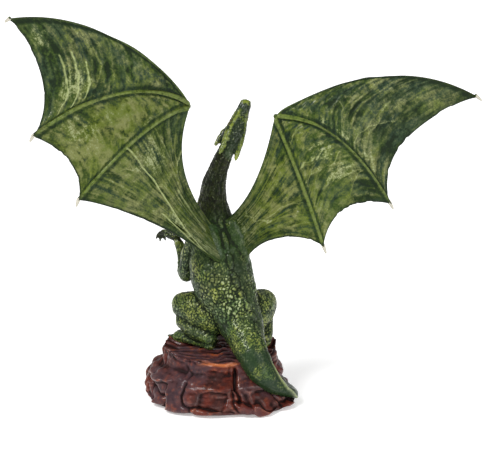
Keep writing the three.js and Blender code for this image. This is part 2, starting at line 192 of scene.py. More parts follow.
def join(shells):
    """Several shells as one list of points and one of faces, each shell facing outwards."""
    points, faces, count = [], [], 0
    for shell_points, quads in shells:
        if volume(shell_points, quads) < 0:
            quads = quads[:, ::-1]
        points.append(shell_points)
        faces.append(quads + count)
        count += len(shell_points)
    return np.vstack(points), np.vstack(faces)


def make_mesh(name, points, quads, scale=MM):
    """A mesh from arrays. A quad that names a point twice is really a triangle."""
    faces = [list(dict.fromkeys(q)) for q in quads.tolist()]
    mesh = bpy.data.meshes.new(name)
    mesh.from_pydata(points * scale, [], faces)
    mesh.validate()
    return mesh


def store(mesh, name, values):
    """One number for each point of the mesh, under a name that the paint can read."""
    layer = mesh.attributes.new(name, "FLOAT", "POINT")
    layer.data.foreach_set("value", np.asarray(values, np.float32).ravel())


def new_object(name, data):
    """An object in the scene, at the origin."""
    thing = bpy.data.objects.new(name, data)
    bpy.context.scene.collection.objects.link(thing)
    return thing


def place(name, mesh, node, slot, material):
    """The finished piece, at the origin, standing for one solid of the model."""
    piece = new_object(name, mesh)
    mesh.materials.clear()
    mesh.materials.append(material)
    mesh.polygons.foreach_set("use_smooth", np.ones(len(mesh.polygons), bool))
    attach(piece, "root")
    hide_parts(node)
    mesh.calc_loop_triangles()
    print(name, len(mesh.loop_triangles), "triangles")


def keep_inside(points, node):
    """Holds a piece inside its solid's own box. It moves the wings' root ends, which are hidden
    in the back, by up to 4 mm, a few points of the rock by 1 mm, and the body by 0.04 mm."""
    low, high = (np.array(corner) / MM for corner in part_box(node))
    past = max((low - points).max(), (points - high).max())
    print(node, "outside by at most", round(float(past), 2))
    return np.clip(points, low, high)

# %% Reading a mesh back
def read(items, name, width, kind=np.float32):
    """One property of a mesh's points or edges, as an array with `width` columns."""
    flat = np.empty(len(items) * width, kind)
    items.foreach_get(name, flat)
    return flat.reshape(-1, width)


def read_points(mesh):
    """Point places of a mesh, in millimetres."""
    return read(mesh.vertices, "co", 3).astype(float) / MM


def read_normals(mesh):
    """Point normals of a mesh."""
    return read(mesh.vertex_normals, "vector", 3).astype(float)


def read_edges(mesh):
    """Pairs of joined points."""
    return read(mesh.edges, "vertices", 2, np.int32)


def relax(values, edges, times, strength=0.5):
    """Moves each value towards the mean of its neighbours, which smooths a surface or a mask."""
    values = np.array(values, float)
    flat = values.reshape(len(values), -1)
    a, b = edges.T
    count = np.bincount(a, minlength=len(flat)) + np.bincount(b, minlength=len(flat))
    for _ in range(times):
        for k in range(flat.shape[1]):
            column = flat[:, k]
            total = np.bincount(a, column[b], len(flat)) + np.bincount(b, column[a], len(flat))
            flat[:, k] = lerp(column, total / np.maximum(count, 1), strength)
    return flat.reshape(values.shape)


def rescale(mesh, points):
    """Puts points given in millimetres into a mesh in metres."""
    mesh.vertices.foreach_set("co", (points * MM).astype(np.float32).ravel())
    mesh.update()


def sculpt(mesh, heights):
    """Moves each point along its normal by its height."""
    return read_points(mesh) + read_normals(mesh) * np.asarray(heights)[:, None]

# %% [markdown]
# ## Limbs
#
# The neck, trunk and tail are one long limb, and so are a thigh, a finger or a claw. On the real
# figure they were rolled from clay and pushed together. A skin modifier could wrap a skeleton,
# but it gives round sections only. Here an oval section is carried along a smooth line, with its
# own width, depth and turn at every station, and both ends are domed.

# %% One limb
def frame_at(stations, t, side):
    """Centre, left arrow, back arrow, half width and half depth at each t. The left arrow is
    `side` made square to the line and turned by the station's roll, and back = left x line."""
    s = np.array([list(station) + [0] * (6 - len(station)) for station in stations], float)
    centre = along(s[:, :3], t)
    ahead = unit(along(s[:, :3], t + 1e-4) - along(s[:, :3], t - 1e-4))
    half_width, half_depth, roll = along(s[:, 3:], t).T
    left = unit(side - ahead * (ahead @ np.array(side, float))[:, None])
    turn = -np.radians(roll)[:, None]
    left = left * np.cos(turn) + np.cross(ahead, left) * np.sin(turn)
    return centre, left, np.cross(left, ahead), half_width, half_depth


def limb(stations, rows=40, sides=28, side=(1, 0, 0), dome=0.12):
    """Point = centre + left x half width x cos(angle) + back x half depth x sin(angle), and both
    halves shrink to nothing at the ends as a quarter circle."""
    t = np.linspace(0, 1, rows + 1)[1:-1]
    centre, left, back, wide, crease_shade = frame_at(stations, t, side)
    domed = quarter(np.minimum(t, 1 - t), dome)
    angle = np.linspace(0, 2 * np.pi, sides, endpoint=False)
    across = left[:, None] * ((wide * domed)[:, None] * np.cos(angle))[..., None]
    through = back[:, None] * ((crease_shade * domed)[:, None] * np.sin(angle))[..., None]
    return tube(centre[:, None] + across + through)


def spike(start, end, thick, thin, bow=(0, 0, 0)):
    """A tapered limb of three stations, rooted a little behind its start."""
    start, end = np.array(start, float), np.array(end, float)
    root = start - unit(end - start) * 0.8 * thick
    middle = (start + end) / 2 + np.array(bow)
    between = (thick + thin) / 2
    return [[*root, thick, thick], [*middle, between, between], [*end, thin, thin]]

# %% [markdown]
# ## The dragon's body
#
# The body is one moulding: trunk, head, two legs and two arms. The stations below are the same
# as in the solid model: x, y, z, half width, half depth and roll in degrees.

# %% Stations of the trunk, legs and arms
SPINE = [
    [-2.9, 1.0, 98.5, 2.6, 2.8, 0],  # inside the skull
    [0.1, -0.3, 92, 3.1, 3.3, 0],
    [1.3, -3.7, 84.4, 3.9, 4.2, 0],
    [1.5, -6.4, 76, 5.2, 5.6, 0],
    [0.9, -6.3, 67.5, 7.8, 7.8, 0],  # foot of the neck
    [0.2, -3.8, 57, 11.0, 10.4, 0],  # chest
    [-0.2, -0.3, 46.7, 12.0, 11.0, 4],
    [-2.4, 3.6, 38.2, 10.6, 10.0, 8],  # waist
    [-4.2, 8.4, 31.3, 8.8, 8.6, 16],  # pelvis
    [-4.6, 15.6, 25.6, 7.1, 6.8, 34],
    [-5.6, 21.0, 19.6, 6.3, 5.8, 50],
    [-9.2, 23.6, 13, 5.2, 4.6, 60],
    [-15.4, 23.0, 7.2, 3.6, 3.2, 60],
    [-21.3, 20.0, 3.9, 2.4, 2.1, 50],  # the tail turns forward here
    [-23.2, 8.8, 3.4, 1.8, 1.6, 30],
    [-24.8, -2.4, 4.8, 0.6, 0.6, 0],  # tail tip
]
LEFT_LEG = {
    "thigh": [[-1.6, 5.6, 29.8, 6.4, 6.2], [5.2, -2.4, 32.8, 7.4, 7.4],
              [11.6, -8.8, 34.2, 6.0, 6.2], [16.2, -12.2, 33.4, 3.6, 3.4]],
    "shin": [[14.0, -10.8, 31.0, 3.9, 4.0], [10.2, -4.8, 27.0, 4.0, 4.4],
             [6.2, 1.6, 24.0, 3.2, 3.4], [5.0, 4.4, 21.4, 2.4, 2.4]],
    "heel": [5.2, 5.4, 21.4],
    "ball": [12.3, -8.6, 21.8],
    "toes": [[16.4, -13.0, 21.8], [13.6, -15.4, 21.6], [10.0, -14.8, 21.5]],
}
RIGHT_LEG = {
    "thigh": [[-6.8, 7.0, 29.8, 6.4, 6.2], [-12.8, 1.4, 32.6, 7.2, 7.2],
              [-18.2, -3.6, 33.8, 6.0, 5.8], [-21.8, -6.2, 33.0, 3.6, 3.4]],
    "shin": [[-19.0, -5.2, 31.0, 3.6, 3.6], [-16.2, 0.8, 27.2, 3.6, 4.0],
             [-15.2, 5.6, 24.0, 3.0, 3.2], [-14.8, 8.2, 21.4, 2.3, 2.3]],
    "heel": [-14.5, 9.2, 21.4],
    "ball": [-18.4, -4.2, 21.2],
    "toes": [[-22.0, -9.0, 21.3], [-18.8, -11.0, 21.1], [-15.4, -10.2, 21.1]],
}
LEFT_ARM = {
    "upper": [[7.2, -6.0, 62.0, 4.0, 4.4], [9.8, -9.6, 54.0, 3.1, 3.6],
              [10.7, -12.4, 43.2, 2.6, 2.8]],
    "fore": [[10.7, -13.0, 44.2, 2.6, 2.6], [10.8, -15.4, 52.6, 2.1, 2.4],
             [12.2, -18.0, 59.4, 1.5, 1.7]],
    "palm": [15.4, -22.6, 60.8],
    "fingers": [[18.2, -27.2, 56.6], [16.2, -27.2, 55.6], [14.2, -25.6, 56.0]],
    "thumb": [12.4, -20.0, 55.4],
}

# %% The parts of the body, each with a kind that the paint uses
NAPE = np.array([-2.7, 0.8, 97.2])
AHEAD = unit(np.array([-9.2, -5.8, 16.8]))
CROWN = unit(np.array([0.1, 1, 0.2]) - AHEAD * (AHEAD @ np.array([0.1, 1, 0.2])))
HEAD_LEFT = -np.cross(AHEAD, CROWN)


def in_head(ahead, left, crown):
    """A point so far ahead of the nape, to the left, and towards the crown."""
    return NAPE + ahead * AHEAD + left * HEAD_LEFT + crown * CROWN


def head_parts():
    """Skull, jaw, brows, horns, cheek spines and eyes, placed by `in_head`."""
    skull = [[-2, 0, 0, 2.8, 2.4], [2, 0, 0.5, 3.9, 2.7], [6.5, 0, 0.7, 4.1, 2.7],
             [11, 0, 0.2, 3.3, 2.1], [16, 0, -0.1, 2.6, 1.8], [20.8, 0, -0.1, 2.2, 1.5]]
    jaw = [[0, 0, -2.6, 3.0, 1.5], [4.5, 0, -3.3, 4.2, 1.5], [10, 0, -3.6, 3.1, 1.1],
           [17.5, 0, -3.9, 1.9, 0.9]]
    own = {"side": HEAD_LEFT, "dome": 0.12}
    parts = [("head", [[*in_head(*s[:3]), *s[3:]] for s in skull], own),
             ("jaw", [[*in_head(*s[:3]), *s[3:]] for s in jaw], own)]
    for s in (1, -1):
        parts += [
            ("brow", spike(in_head(15, 1.3 * s, 1.2), in_head(2.4, 2.9 * s, 2.3), 0.6, 1.4), {}),
            ("brow", spike(in_head(4, 2.7 * s, 2.0), in_head(-4.4, 3.3 * s, 2.4), 1.5, 0.7), {}),
            ("jaw", spike(in_head(6, 3.2 * s, -2.8), in_head(-0.6, 5 * s, -3.2), 1.5, 0.7), {}),
            ("eye", spike(in_head(8.9, 3.2 * s, 0.3), in_head(8.1, 3.3 * s, 0.3), 0.9, 0.9), {}),
        ]
    return parts


def leg_parts(leg):
    """Thigh, shin, long foot, three toes and their claws."""
    heel, ball = np.array(leg["heel"]), np.array(leg["ball"])
    foot = [[*heel, 2.1, 1.7], [*(heel + ball) / 2, 2.3, 1.6], [*ball, 3.0, 1.7]]
    parts = [("thigh", leg["thigh"], {"side": (0, 0, 1), "dome": 0.16}),
             ("shin", leg["shin"], {"side": (0, 0, 1), "dome": 0.16}),
             ("foot", foot, {"side": (1, 0.4, 0), "dome": 0.2})]
    for toe in np.array(leg["toes"]):
        knuckle = lerp(ball, toe, 0.8)
        claw = toe + unit(toe - ball) * 2.2 - np.array([0, 0, 0.4])
        parts += [("foot", spike(ball, knuckle, 2.3, 2.0), {}),
                  ("claw", spike(knuckle, claw, 1.1, 0.4), {})]
    return parts


def arm_parts(arm):
    """Upper arm, forearm, palm, three fingers and a thumb, the last third of each a claw."""
    wrist, palm = np.array(arm["fore"][-1][:3]), np.array(arm["palm"])
    folded = {"side": (0, 1, 0), "dome": 0.16}
    parts = [("arm", arm["upper"], folded), ("arm", arm["fore"], folded),
             ("hand", spike(wrist, palm, 1.6, 1.9), {}),
             ("hand", spike(wrist, arm["thumb"], 1.1, 0.4), {})]
    parts += [("hand", spike(palm, tip, 1.25, 0.45, (0.4, -0.8, 0.8)), {})
              for tip in arm["fingers"]]
    return parts


def mirrored(arm):
    """The same arm on the other side, with every x turned round."""
    other = {name: np.array(points, float) for name, points in arm.items()}
    for points in other.values():
        points[..., 0] *= -1
    return other


SOCKETS = [  # the muscle that each wing is glued into, along its root
    [[5.6, -1.6, 68.6, 3.2, 3.2], [4.4, 2.6, 61.0, 3.8, 3.6], [2.4, 5.2, 54.6, 2.8, 2.6],
     [-0.4, 6.2, 49.6, 1.4, 1.4]],
    [[-2.4, -1.0, 70.4, 3.4, 3.4], [-5.4, 2.0, 62.6, 4.2, 3.8], [-7.0, 3.2, 55.4, 3.0, 2.8],
     [-7.6, 3.4, 50.4, 1.6, 1.6]],
]
body_parts = [("trunk", SPINE, {"rows": 300, "sides": 72, "dome": 0.02})]
body_parts += [("socket", stations, {}) for stations in SOCKETS]
body_parts += head_parts() + leg_parts(LEFT_LEG) + leg_parts(RIGHT_LEG)
body_parts += arm_parts(LEFT_ARM) + arm_parts(mirrored(LEFT_ARM))
for part in body_parts:
    if part[0] in ("hand", "claw", "brow", "eye"):
        part[2]["dome"] = 0.25
print(len(body_parts), "parts of the body")

# %% [markdown]
# ### Welding the limbs into one skin
#
# Clay limbs are pushed together and the joints are rubbed smooth. A boolean union would leave a
# sharp line at each joint, so the shells are remeshed into one even skin of small quads, and
# that skin is relaxed a little, which fills the creases as a thumb would.

# %% Weld and relax
SKIN_STEP = 0.40  # side of the skin's quads


def welded(shells, step):
    """One even closed skin round several overlapping shells, made in millimetres."""
    points, quads = join(shells)
    rough = new_object("rough", make_mesh("rough", points, quads, 1.0))
    weld = rough.modifiers.new("weld", "REMESH")
    weld.mode = "VOXEL"
    weld.voxel_size = step
    weld.adaptivity = 0
    view = rough.evaluated_get(bpy.context.evaluated_depsgraph_get())
    skin = bpy.data.meshes.new_from_object(view)
    spare = rough.data
    bpy.data.objects.remove(rough)
    bpy.data.meshes.remove(spare)
    return skin


body = welded([limb(stations, **how) for _, stations, how in body_parts], SKIN_STEP)
body.name = "body_skin"
body_edges = read_edges(body)
smooth_body = relax(read(body.vertices, "co", 3), body_edges, 4)
rescale(body, smooth_body)
print("skin:", len(body.vertices), "points")

# %% [markdown]
# ### Where each point of the skin belongs
#
# Scales, plates and claws need to know which part they are on. Each part's line is sampled, and
# a point belongs to the part whose line is nearest, counted in that part's own radius. On the
# trunk the same search gives how far down the spine a point is, and the angle round it.

# %% Nearest part and trunk coordinates
def nearness(points, stations, samples):
    """Distance to a limb's line divided by the limb's local radius, and the nearest sample."""
    s = np.array([list(station)[:5] for station in stations], float)
    t = np.linspace(0, 1, samples)
    line, radius = along(s[:, :3], t), along(s[:, 3:5], t).mean(axis=1)
    best, which = np.full(len(points), 1e9), np.zeros(len(points), int)
    for k in range(samples):
        away = np.linalg.norm(points - line[k], axis=1) / max(radius[k], 0.4)
        which = np.where(away < best, k, which)
        best = np.minimum(best, away)
    return best, t[which]


on_part = {}
for kind, stations, _ in body_parts:
    samples = 240 if kind == "trunk" else 14
    near, t_here = nearness(smooth_body, stations, samples)
    if kind == "trunk":
        spine_t = t_here
    on_part[kind] = np.minimum(near, on_part.get(kind, 1e9))

kinds = list(on_part)
owner = np.argmin(np.stack([on_part[kind] for kind in kinds]), axis=0)
part_mask = {kind: relax((owner == k).astype(float), body_edges, 2)
             for k, kind in enumerate(kinds)}

centre, left, back, _, _ = frame_at(SPINE, spine_t, (1, 0, 0))
out_left = np.einsum("ij,ij->i", smooth_body - centre, left)
out_back = np.einsum("ij,ij->i", smooth_body - centre, back)
around = np.arctan2(out_back, out_left)  # a quarter turn is the middle of the back
print({kind: int((owner == k).sum()) for k, kind in enumerate(kinds)})

# %% [markdown]
# ### Scales, plates and folds
#
# The hide is pebbly: raised scales about a millimetre and a half across on the back and thighs,
# smaller ones on the neck and arms, nearly none low on the tail. A row of spine plates runs
# down the back and broad plates cross the belly. A displacement texture would vanish when the
# figure is exported, so the skin's own points are moved.

# %% Relief of the hide
LARGE_SCALE, SMALL_SCALE, PATCH = 1.25, 0.85, 4.2  # sizes of scales and of cracked patches
FLAT_SCALE, HIGH_SCALE = 0.20, 0.34  # heights of scales, off and on the middle of the back
STRAND_HIGH, PLATE_HIGH, BAND_HIGH, LUMP_HIGH = 0.8, 0.85, 0.5, 0.9
PLATES = 23  # spine plates from nape to tail tip
PLATE_LONG = 2.6  # half the length of a plate
BELLY_BANDS = 62  # bands, if they ran from nape to tail tip

on_trunk = part_mask["trunk"]
upper = np.sin(around) > 0  # the back's half of the trunk
trunkish = held(on_trunk + part_mask["socket"])
neck = trunkish * (1 - rise(0.22, 0.30, spine_t))
tail = trunkish * rise(0.56, 0.70, spine_t)
headish = held(part_mask["head"] + part_mask["jaw"] + part_mask["brow"])
clawish = held(part_mask["claw"])
plain = (1 - headish) * (1 - clawish)
mid_back = bell(spine_t, 0.47, 0.12) * trunkish
between = rise(0.18, 0.24, spine_t) * (1 - rise(0.34, 0.40, spine_t))
between = trunkish * between * rise(0.1, 0.6, np.sin(around))
socket = held(part_mask["socket"] + between)
bare = (1 - 0.75 * tail) * (1 - 0.75 * neck) * plain * (1 - 0.7 * socket)
warp = np.stack([clouds(smooth_body / 1.9 + shift, 2, 7) for shift in (0, 40, 80)], -1) - 0.5


def hide_scales(size, seed):
    """Domes round scattered seeds, with a crease where two domes meet: the dome is 1 less the
    distance to its seed, and the crease follows the gap to the next seed."""
    near, following, number, _ = pebbles((smooth_body + 1.5 * warp) / size, seed)
    dome = held(1 - near / 0.74) ** 0.7
    return dome * rise(0.0, 0.24, following - near), number


large_scales, large_number = hide_scales(LARGE_SCALE, 3)
small_scales, small_number = hide_scales(SMALL_SCALE, 11)
scales = lerp(small_scales, large_scales, mid_back)
own_number = lerp(small_number, large_number, mid_back)
crack_near, crack_next, crack_number, _ = pebbles((smooth_body + 2.2 * warp) / PATCH, 19)
cracks = 1 - rise(0.0, 0.16, crack_next - crack_near)
relief = lerp(FLAT_SCALE, HIGH_SCALE, mid_back) * bare * (scales - 0.4) * (0.5 + own_number)
relief = relief - 0.08 * cracks * bare + 0.15 * (crack_number - 0.5) * bare * (1 - cracks)
relief = relief + 0.16 * (neck + headish) * (small_scales - 0.3)
strands = clouds(np.stack([around * 3.4, spine_t * 14, spine_t * 0], -1), 3, 21)
relief = relief + STRAND_HIGH * neck * (0.5 - np.abs(2 * strands - 1))

spine_line = along(np.array(SPINE)[:, :3], np.linspace(0, 1, 400))
spine_length = float(np.linalg.norm(np.diff(spine_line, axis=0), axis=1).sum())
off_middle = (around - np.pi / 2) * np.hypot(out_left, out_back)  # mm sideways
from_plate = (((spine_t * PLATES) % 1) - 0.5) * spine_length / PLATES
plate_wide = 0.5 + 0.9 * np.sin(np.pi * held(spine_t)) ** 2
oval = held(1 - (from_plate / PLATE_LONG) ** 2 - (off_middle / plate_wide) ** 2) ** 0.5
keel_line = rise(0.62, 0.74, spine_t)
keel_high = bell(off_middle, 0, 0.6)
plates = lerp(oval, 0.7 * keel_high, keel_line) * (0.4 + 0.7 * np.sin(np.pi * spine_t))
plates = plates * on_trunk * upper * (1 - 0.3 * rise(0.32, 0.46, spine_t) * (1 - keel_line))
on_back = held(bell(off_middle, 0, 2.4) * on_trunk * upper)
smooth_side = bell(off_middle, 2.6, 3.0) * trunkish * upper
smooth_side = smooth_side * rise(0.28, 0.38, spine_t) * (1 - rise(0.52, 0.64, spine_t))
relief = relief * (1 - 0.55 * smooth_side)
relief = relief * (1 - 0.6 * held(plates * 1.5)) + plates * PLATE_HIGH

on_front = np.maximum(0, -np.sin(around)) ** 3 * trunkish * (1 - rise(0.6, 0.66, spine_t))
band = np.abs(((spine_t * BELLY_BANDS) % 1) - 0.5) * 2
relief = relief * (1 - 0.8 * on_front) + on_front * BAND_HIGH * (0.6 - band**2)
relief = relief + 0.5 * socket * (clouds(smooth_body / 2.2, 2, 45) - 0.5)
lumps = clouds(smooth_body / 6.5, 2, 31) - 0.5
relief = relief + LUMP_HIGH * lumps * plain * (1 - 0.6 * tail)
tail_low = rise(0.70, 0.80, spine_t) * (1 - rise(0.97, 1.0, spine_t)) * on_trunk
tail_slim = 1.5 * held(np.cos(around)) + 0.3 * rise(0.9, 0.97, spine_t)
relief = relief - tail_low * tail_slim
relief = relief + 0.4 * headish * (clouds(smooth_body / 1.1, 2, 41) - 0.5)
print("relief, mm:", np.round([relief.min(), relief.max()], 2))

# %% How far each point stands up, for the paint
def standing(mesh, edges, reach):
    """How far each point stands off the same surface smoothed over `reach` steps, along its
    normal: above zero on ridges, below zero in creases."""
    points = read_points(mesh)
    calm = relax(points, edges, reach, 0.7)
    return np.einsum("ij,ij->i", points - calm, read_normals(mesh))


rescale(body, sculpt(body, relief))
fine, broad, crease_shade = (standing(body, body_edges, reach) for reach in (3, 14, 60))
# The widest reach is painted shade: only its part below zero counts, so points deep in broad
# creases, as between thigh and trunk, are pushed down and the wash darkens them.
raised = held(0.5 + 3.0 * fine + 0.6 * broad + 0.35 * np.minimum(crease_shade, 0))
print("raised:", np.round(np.percentile(raised, [5, 50, 95]), 2))
raised = raised + (0.34 * (own_number - 0.5) + 0.06 * (crack_number - 0.5)) * bare
raised = raised - 0.04 * cracks * bare - 0.40 * held(plates) * (1 - keel_line)

# Painted highlight: a band down the left of the mid-back, the side that faces the key light, and
# the thighs get more of the light brush than elsewhere.
lit_band = bell(off_middle, -4.5, 4.5) * bell(spine_t, 0.50, 0.13) * trunkish
lit_patch = clouds(smooth_body / 5.5, 2, 91) - 0.09 - 0.20 * smooth_side
lit_patch = lit_patch + 0.24 * part_mask["thigh"] + 0.26 * lit_band
nose, height = (smooth_body - NAPE) @ AHEAD, (smooth_body - NAPE) @ CROWN
crest = held(rise(17.0, 18.6, nose) + 0.9 * bell(nose, 12.5, 2.6))
crest = crest * part_mask["head"] * rise(-0.2, 0.5, height)
for name, values in {
    "raised": raised,
    "socket": socket,
    "dusky": neck + 0.9 * rise(0.2, 0.8, part_mask["hand"]),
    "tail": tail,
    "head": headish,
    "claw": clawish,
    "eye": part_mask["eye"],
    "brow": part_mask["brow"] + crest,
    "keel": keel_high * keel_line * on_trunk * upper,
    "lit_patch": rise(0.30, 0.62, lit_patch),
    "scale": scales * plain * (0.6 + 0.6 * own_number) * (1 - 0.5 * smooth_side),
    # painted highlight on the band that faces the key light
    "pale": 1.2 * lit_band * (1 - 0.5 * on_back),
}.items():
    store(body, name, held(values))

# %% [markdown]
# ## The wings
#
# Each wing is one moulding: a thin skin stretched over three fingers that fan out from the
# wrist, and a last panel that runs back to the body. It could be a flat outline that is bent
# with a lattice, but a fan is really a surface of two numbers. u counts the fingers, from 0 at
# the leading one to 3 at the root, and v runs from 0 at the wrist to 1 at the trailing edge.

# %% Driving points of the wings
LEFT_WING = {
    "shoulder": [5.0, -1.0, 67.2], "wrist": [17.0, 13.1, 116.6], "root_foot": [0.2, 7.4, 51.6],
    "tips": [[84.0, 16.3, 151.8], [77.7, 20.7, 110.7], [61.6, 20.2, 86.3]],
    "bows": [[3.1, 8.5, 13.2], [2.4, 7.2, 10.6], [1.4, 4.3, 5.7], [0.5, 1.0, 0.0]],
    "bow_peak": 0.86, "arm_bow": [7.4, 1.2, 0.2],
    "scallops": [[8.8, 0.85], [6.2, 1.0], [4.2, 0.9]],
}
RIGHT_WING = {
    "shoulder": [-1.6, -1.0, 69.0], "wrist": [-17.2, 10.4, 110.4], "root_foot": [-8.0, 3.9, 51.4],
    "tips": [[-96.5, 20.4, 114.2], [-59.2, 23.7, 76.0], [-31.0, 26.2, 62.4]],
    "bows": [[1.5, 2.0, 11.6], [1.4, 2.7, 10.3], [0.5, 1.1, 2.7], [-0.5, 1.0, 0.0]],
    "bow_peak": 1.14, "arm_bow": [-1.4, 1.8, -4.8],
    "scallops": [[13.4, 0.78], [8.0, 1.0], [7.6, 1.05]],
}
KNUCKLE = 0.5  # how far from the wrist's centre the skin begins

# %% The middle surface of a wing
def fan(wing, u, v):
    """Point = straight line from the inner edge to the outer edge, plus a bow that is fullest in
    the middle. The outer edge is cut back between two tips by depth x (4a(1-a))^0.65."""
    shoulder, wrist = np.array(wing["shoulder"]), np.array(wing["wrist"])
    ends = np.array(wing["tips"] + [wing["root_foot"]], float)
    elbow = (wrist + shoulder) / 2 + 2 * np.array(wing["arm_bow"])
    panel = np.minimum(2, np.floor(u)).astype(int)
    share = (u - panel)[..., None]
    depth, skew = np.moveaxis(np.array(wing["scallops"])[panel], -1, 0)[..., None]
    a = share**skew
    outer = lerp(ends[panel], ends[panel + 1], share)
    arm = wrist * (1 - share) ** 2 + elbow * 2 * share * (1 - share) + shoulder * share**2
    last = (panel == 2)[..., None]
    inner = np.where(last, arm, wrist)
    inward = unit(inner - outer)
    outer = outer + inward * depth * (4 * a * (1 - a)) ** 0.65
    inner = inner - inward * KNUCKLE * np.where(last, 1 - share, 1)
    full = (v ** wing["bow_peak"])[..., None]
    bow = along(wing["bows"], u / 3) * 4 * full * (1 - full)
    return lerp(inner, outer, v[..., None]) + bow


def bunched(count, pull=0.6):
    """Numbers from 0 to 1 that lie closer together at both ends."""
    x = np.linspace(0, 1, count)
    return lerp(x, (1 - np.cos(np.pi * x)) / 2, pull)


fan_u = np.concatenate([bunched(90)[:-1], 1 + bunched(80)[:-1], 2 + bunched(112)])
fan_v = np.concatenate([[0, 0.003, 0.008], np.linspace(0.015, 0.985, 146), [0.991, 0.996, 1]])
u_grid, v_grid = np.meshgrid(fan_u, fan_v, indexing="ij")
on_edge = np.ones(u_grid.shape, bool)
on_edge[1:-1, 1:-1] = False
print("wing grid:", u_grid.shape)

# %% [markdown]
# ### Veins and folds
#
# The sculptor cut tendons, branching veins and stretch folds into the skin. The folds cross from
# finger to finger at a steady distance from the wrist, so they are lines of nearly constant v.
# A vein is a short smooth line in u and v, and the skin rises near it. Its distance is measured
# in millimetres with the local size of a step in u and in v.

# %% Veins of each wing: half width and height in mm, then u and v of each point
LEFT_VEINS = [
    [0.65, 0.8, 2.0, 0.57, 2.18, 0.58, 2.37, 0.6, 2.56, 0.7, 2.74, 0.87, 2.87, 0.99],
    [0.6, 0.65, 2.5, 0.84, 2.61, 0.87, 2.73, 0.93, 2.87, 1.0],
    [0.55, 0.35, 2.37, 0.6, 2.41, 0.53, 2.44, 0.46],
    [0.55, 0.32, 2.37, 0.6, 2.33, 0.74, 2.31, 0.88],
    [0.55, 0.35, 2.01, 0.78, 2.09, 0.72, 2.18, 0.65, 2.21, 0.62],
    [0.55, 0.3, 2.01, 0.78, 2.1, 0.82, 2.19, 0.86],
    [0.7, 0.45, 2.34, 0.05, 2.4, 0.12, 2.46, 0.21],
    [0.55, 0.35, 2.04, 0.33, 2.19, 0.3, 2.32, 0.25],
    [0.6, 0.3, 1.15, 0.59, 1.4, 0.64, 1.65, 0.64, 1.92, 0.57],
    [0.7, 0.4, 2.54, 0.37, 2.71, 0.38, 2.85, 0.43, 2.9, 0.57],
    [0.8, 0.5, 0.45, 0.7, 0.6, 0.69, 0.75, 0.68, 0.92, 0.7],
    [0.9, 0.55, 0.3, 0.76, 0.5, 0.76, 0.7, 0.75, 0.94, 0.77],
    [0.9, 0.45, 0.3, 0.84, 0.5, 0.83, 0.72, 0.83, 0.94, 0.85],
    [0.6, 0.3, 0.42, 0.55, 0.55, 0.6, 0.7, 0.62],
]
RIGHT_VEINS = [
    [0.7, 0.4, 2.74, 0.2, 2.7, 0.38, 2.65, 0.54, 2.49, 0.72],
    [0.6, 0.45, 0.94, 0.7, 0.77, 0.74, 0.58, 0.81, 0.4, 0.88],
    [0.55, 0.35, 0.93, 0.71, 0.75, 0.79, 0.55, 0.82, 0.47, 0.79],
    [0.6, 0.35, 0.95, 0.6, 0.8, 0.57, 0.62, 0.56, 0.5, 0.5],
    [0.6, 0.35, 1.89, 0.28, 1.6, 0.3, 1.25, 0.32],
    [0.6, 0.4, 1.94, 0.49, 1.56, 0.6, 1.19, 0.59],
    [0.6, 0.4, 1.95, 0.6, 1.4, 0.71, 1.14, 0.66],
    [0.6, 0.4, 1.04, 0.8, 1.36, 0.82, 1.71, 0.79],
    [0.55, 0.3, 1.04, 0.8, 1.26, 0.89, 1.35, 0.94],
    [0.6, 0.35, 2.05, 0.7, 2.3, 0.66, 2.52, 0.62],
    [0.6, 0.3, 2.05, 0.78, 2.3, 0.75, 2.5, 0.72],
]


def ridge(distance, half_width):
    """A rounded ridge: 1 on its line, 0 at its half width, level at both."""
    return 1 - rise(0, 1, np.abs(distance) / half_width)


def steps_of(surface):
    """How many millimetres one unit of u, and one of v, spans at each grid point."""
    step_u = np.linalg.norm(np.gradient(surface, fan_u, axis=0), axis=-1)
    step_v = np.linalg.norm(np.gradient(surface, fan_v, axis=1), axis=-1)
    return step_u, step_v


def fan_clouds(u, v, seed, third=0):
    """Noise over the fan, drawn out as far as u and v are stretched."""
    return clouds(np.stack([u, v, u * 0 + third], -1), 2, seed)


def vein_relief(veins, step_u, step_v, seed):
    """The highest vein at each point, in mm. The distance to a vein is the least distance to its
    short straight segments, and a little noise in u and v makes the vein waver."""
    waver = fan_clouds(u_grid * 9, v_grid * 14, seed) - 0.5
    u_here, v_here = u_grid + waver * 0.06, v_grid + waver * 0.035
    total = np.zeros(u_grid.shape)
    for half_width, height, *places in veins:
        path = along(np.reshape(places, (-1, 2)), np.linspace(0, 1, 14))
        away = np.full(u_grid.shape, 1e9)
        for (u0, v0), (u1, v1) in zip(path[:-1], path[1:]):
            du, dv = (u1 - u0) * step_u, (v1 - v0) * step_v
            au, av = (u_here - u0) * step_u, (v_here - v0) * step_v
            share = held((au * du + av * dv) / (du * du + dv * dv))
            away = np.minimum(away, (au - share * du) ** 2 + (av - share * dv) ** 2)
        total = np.maximum(total, height * ridge(np.sqrt(away), half_width))
    return total

# %% One wing's skin
SKIN = 1.3  # thickness of the skin between the fingers
FINGER_THICK, FINGER_THIN = 3.2, 1.7  # thickness of a finger at the wrist and at its tip
SHOULDER_THICK = 4.6
FOLD_HIGH, LINE_HIGH, PILLOW_HIGH, LEATHER_HIGH = 0.85, 0.32, 0.8, 0.35
GROOVE_DEEP = 0.18  # of the groove beside a finger
NICK_DEEP = 0.005  # of the nicks in the trailing edge, as a share of v
CLAW_ROWS, CLAW_SIDES = 16, 14
KNOB_ROWS, KNOB_SIDES = 14, 20
CLAW_HOOK = [-0.6, -0.2, -1.2]  # how the claws turn away from their fingers


def folded(noise):
    """Noise as sharp folds: 1 where it crosses its middle, 0 where it is furthest from it."""
    return 1 - np.abs(2 * noise - 1)


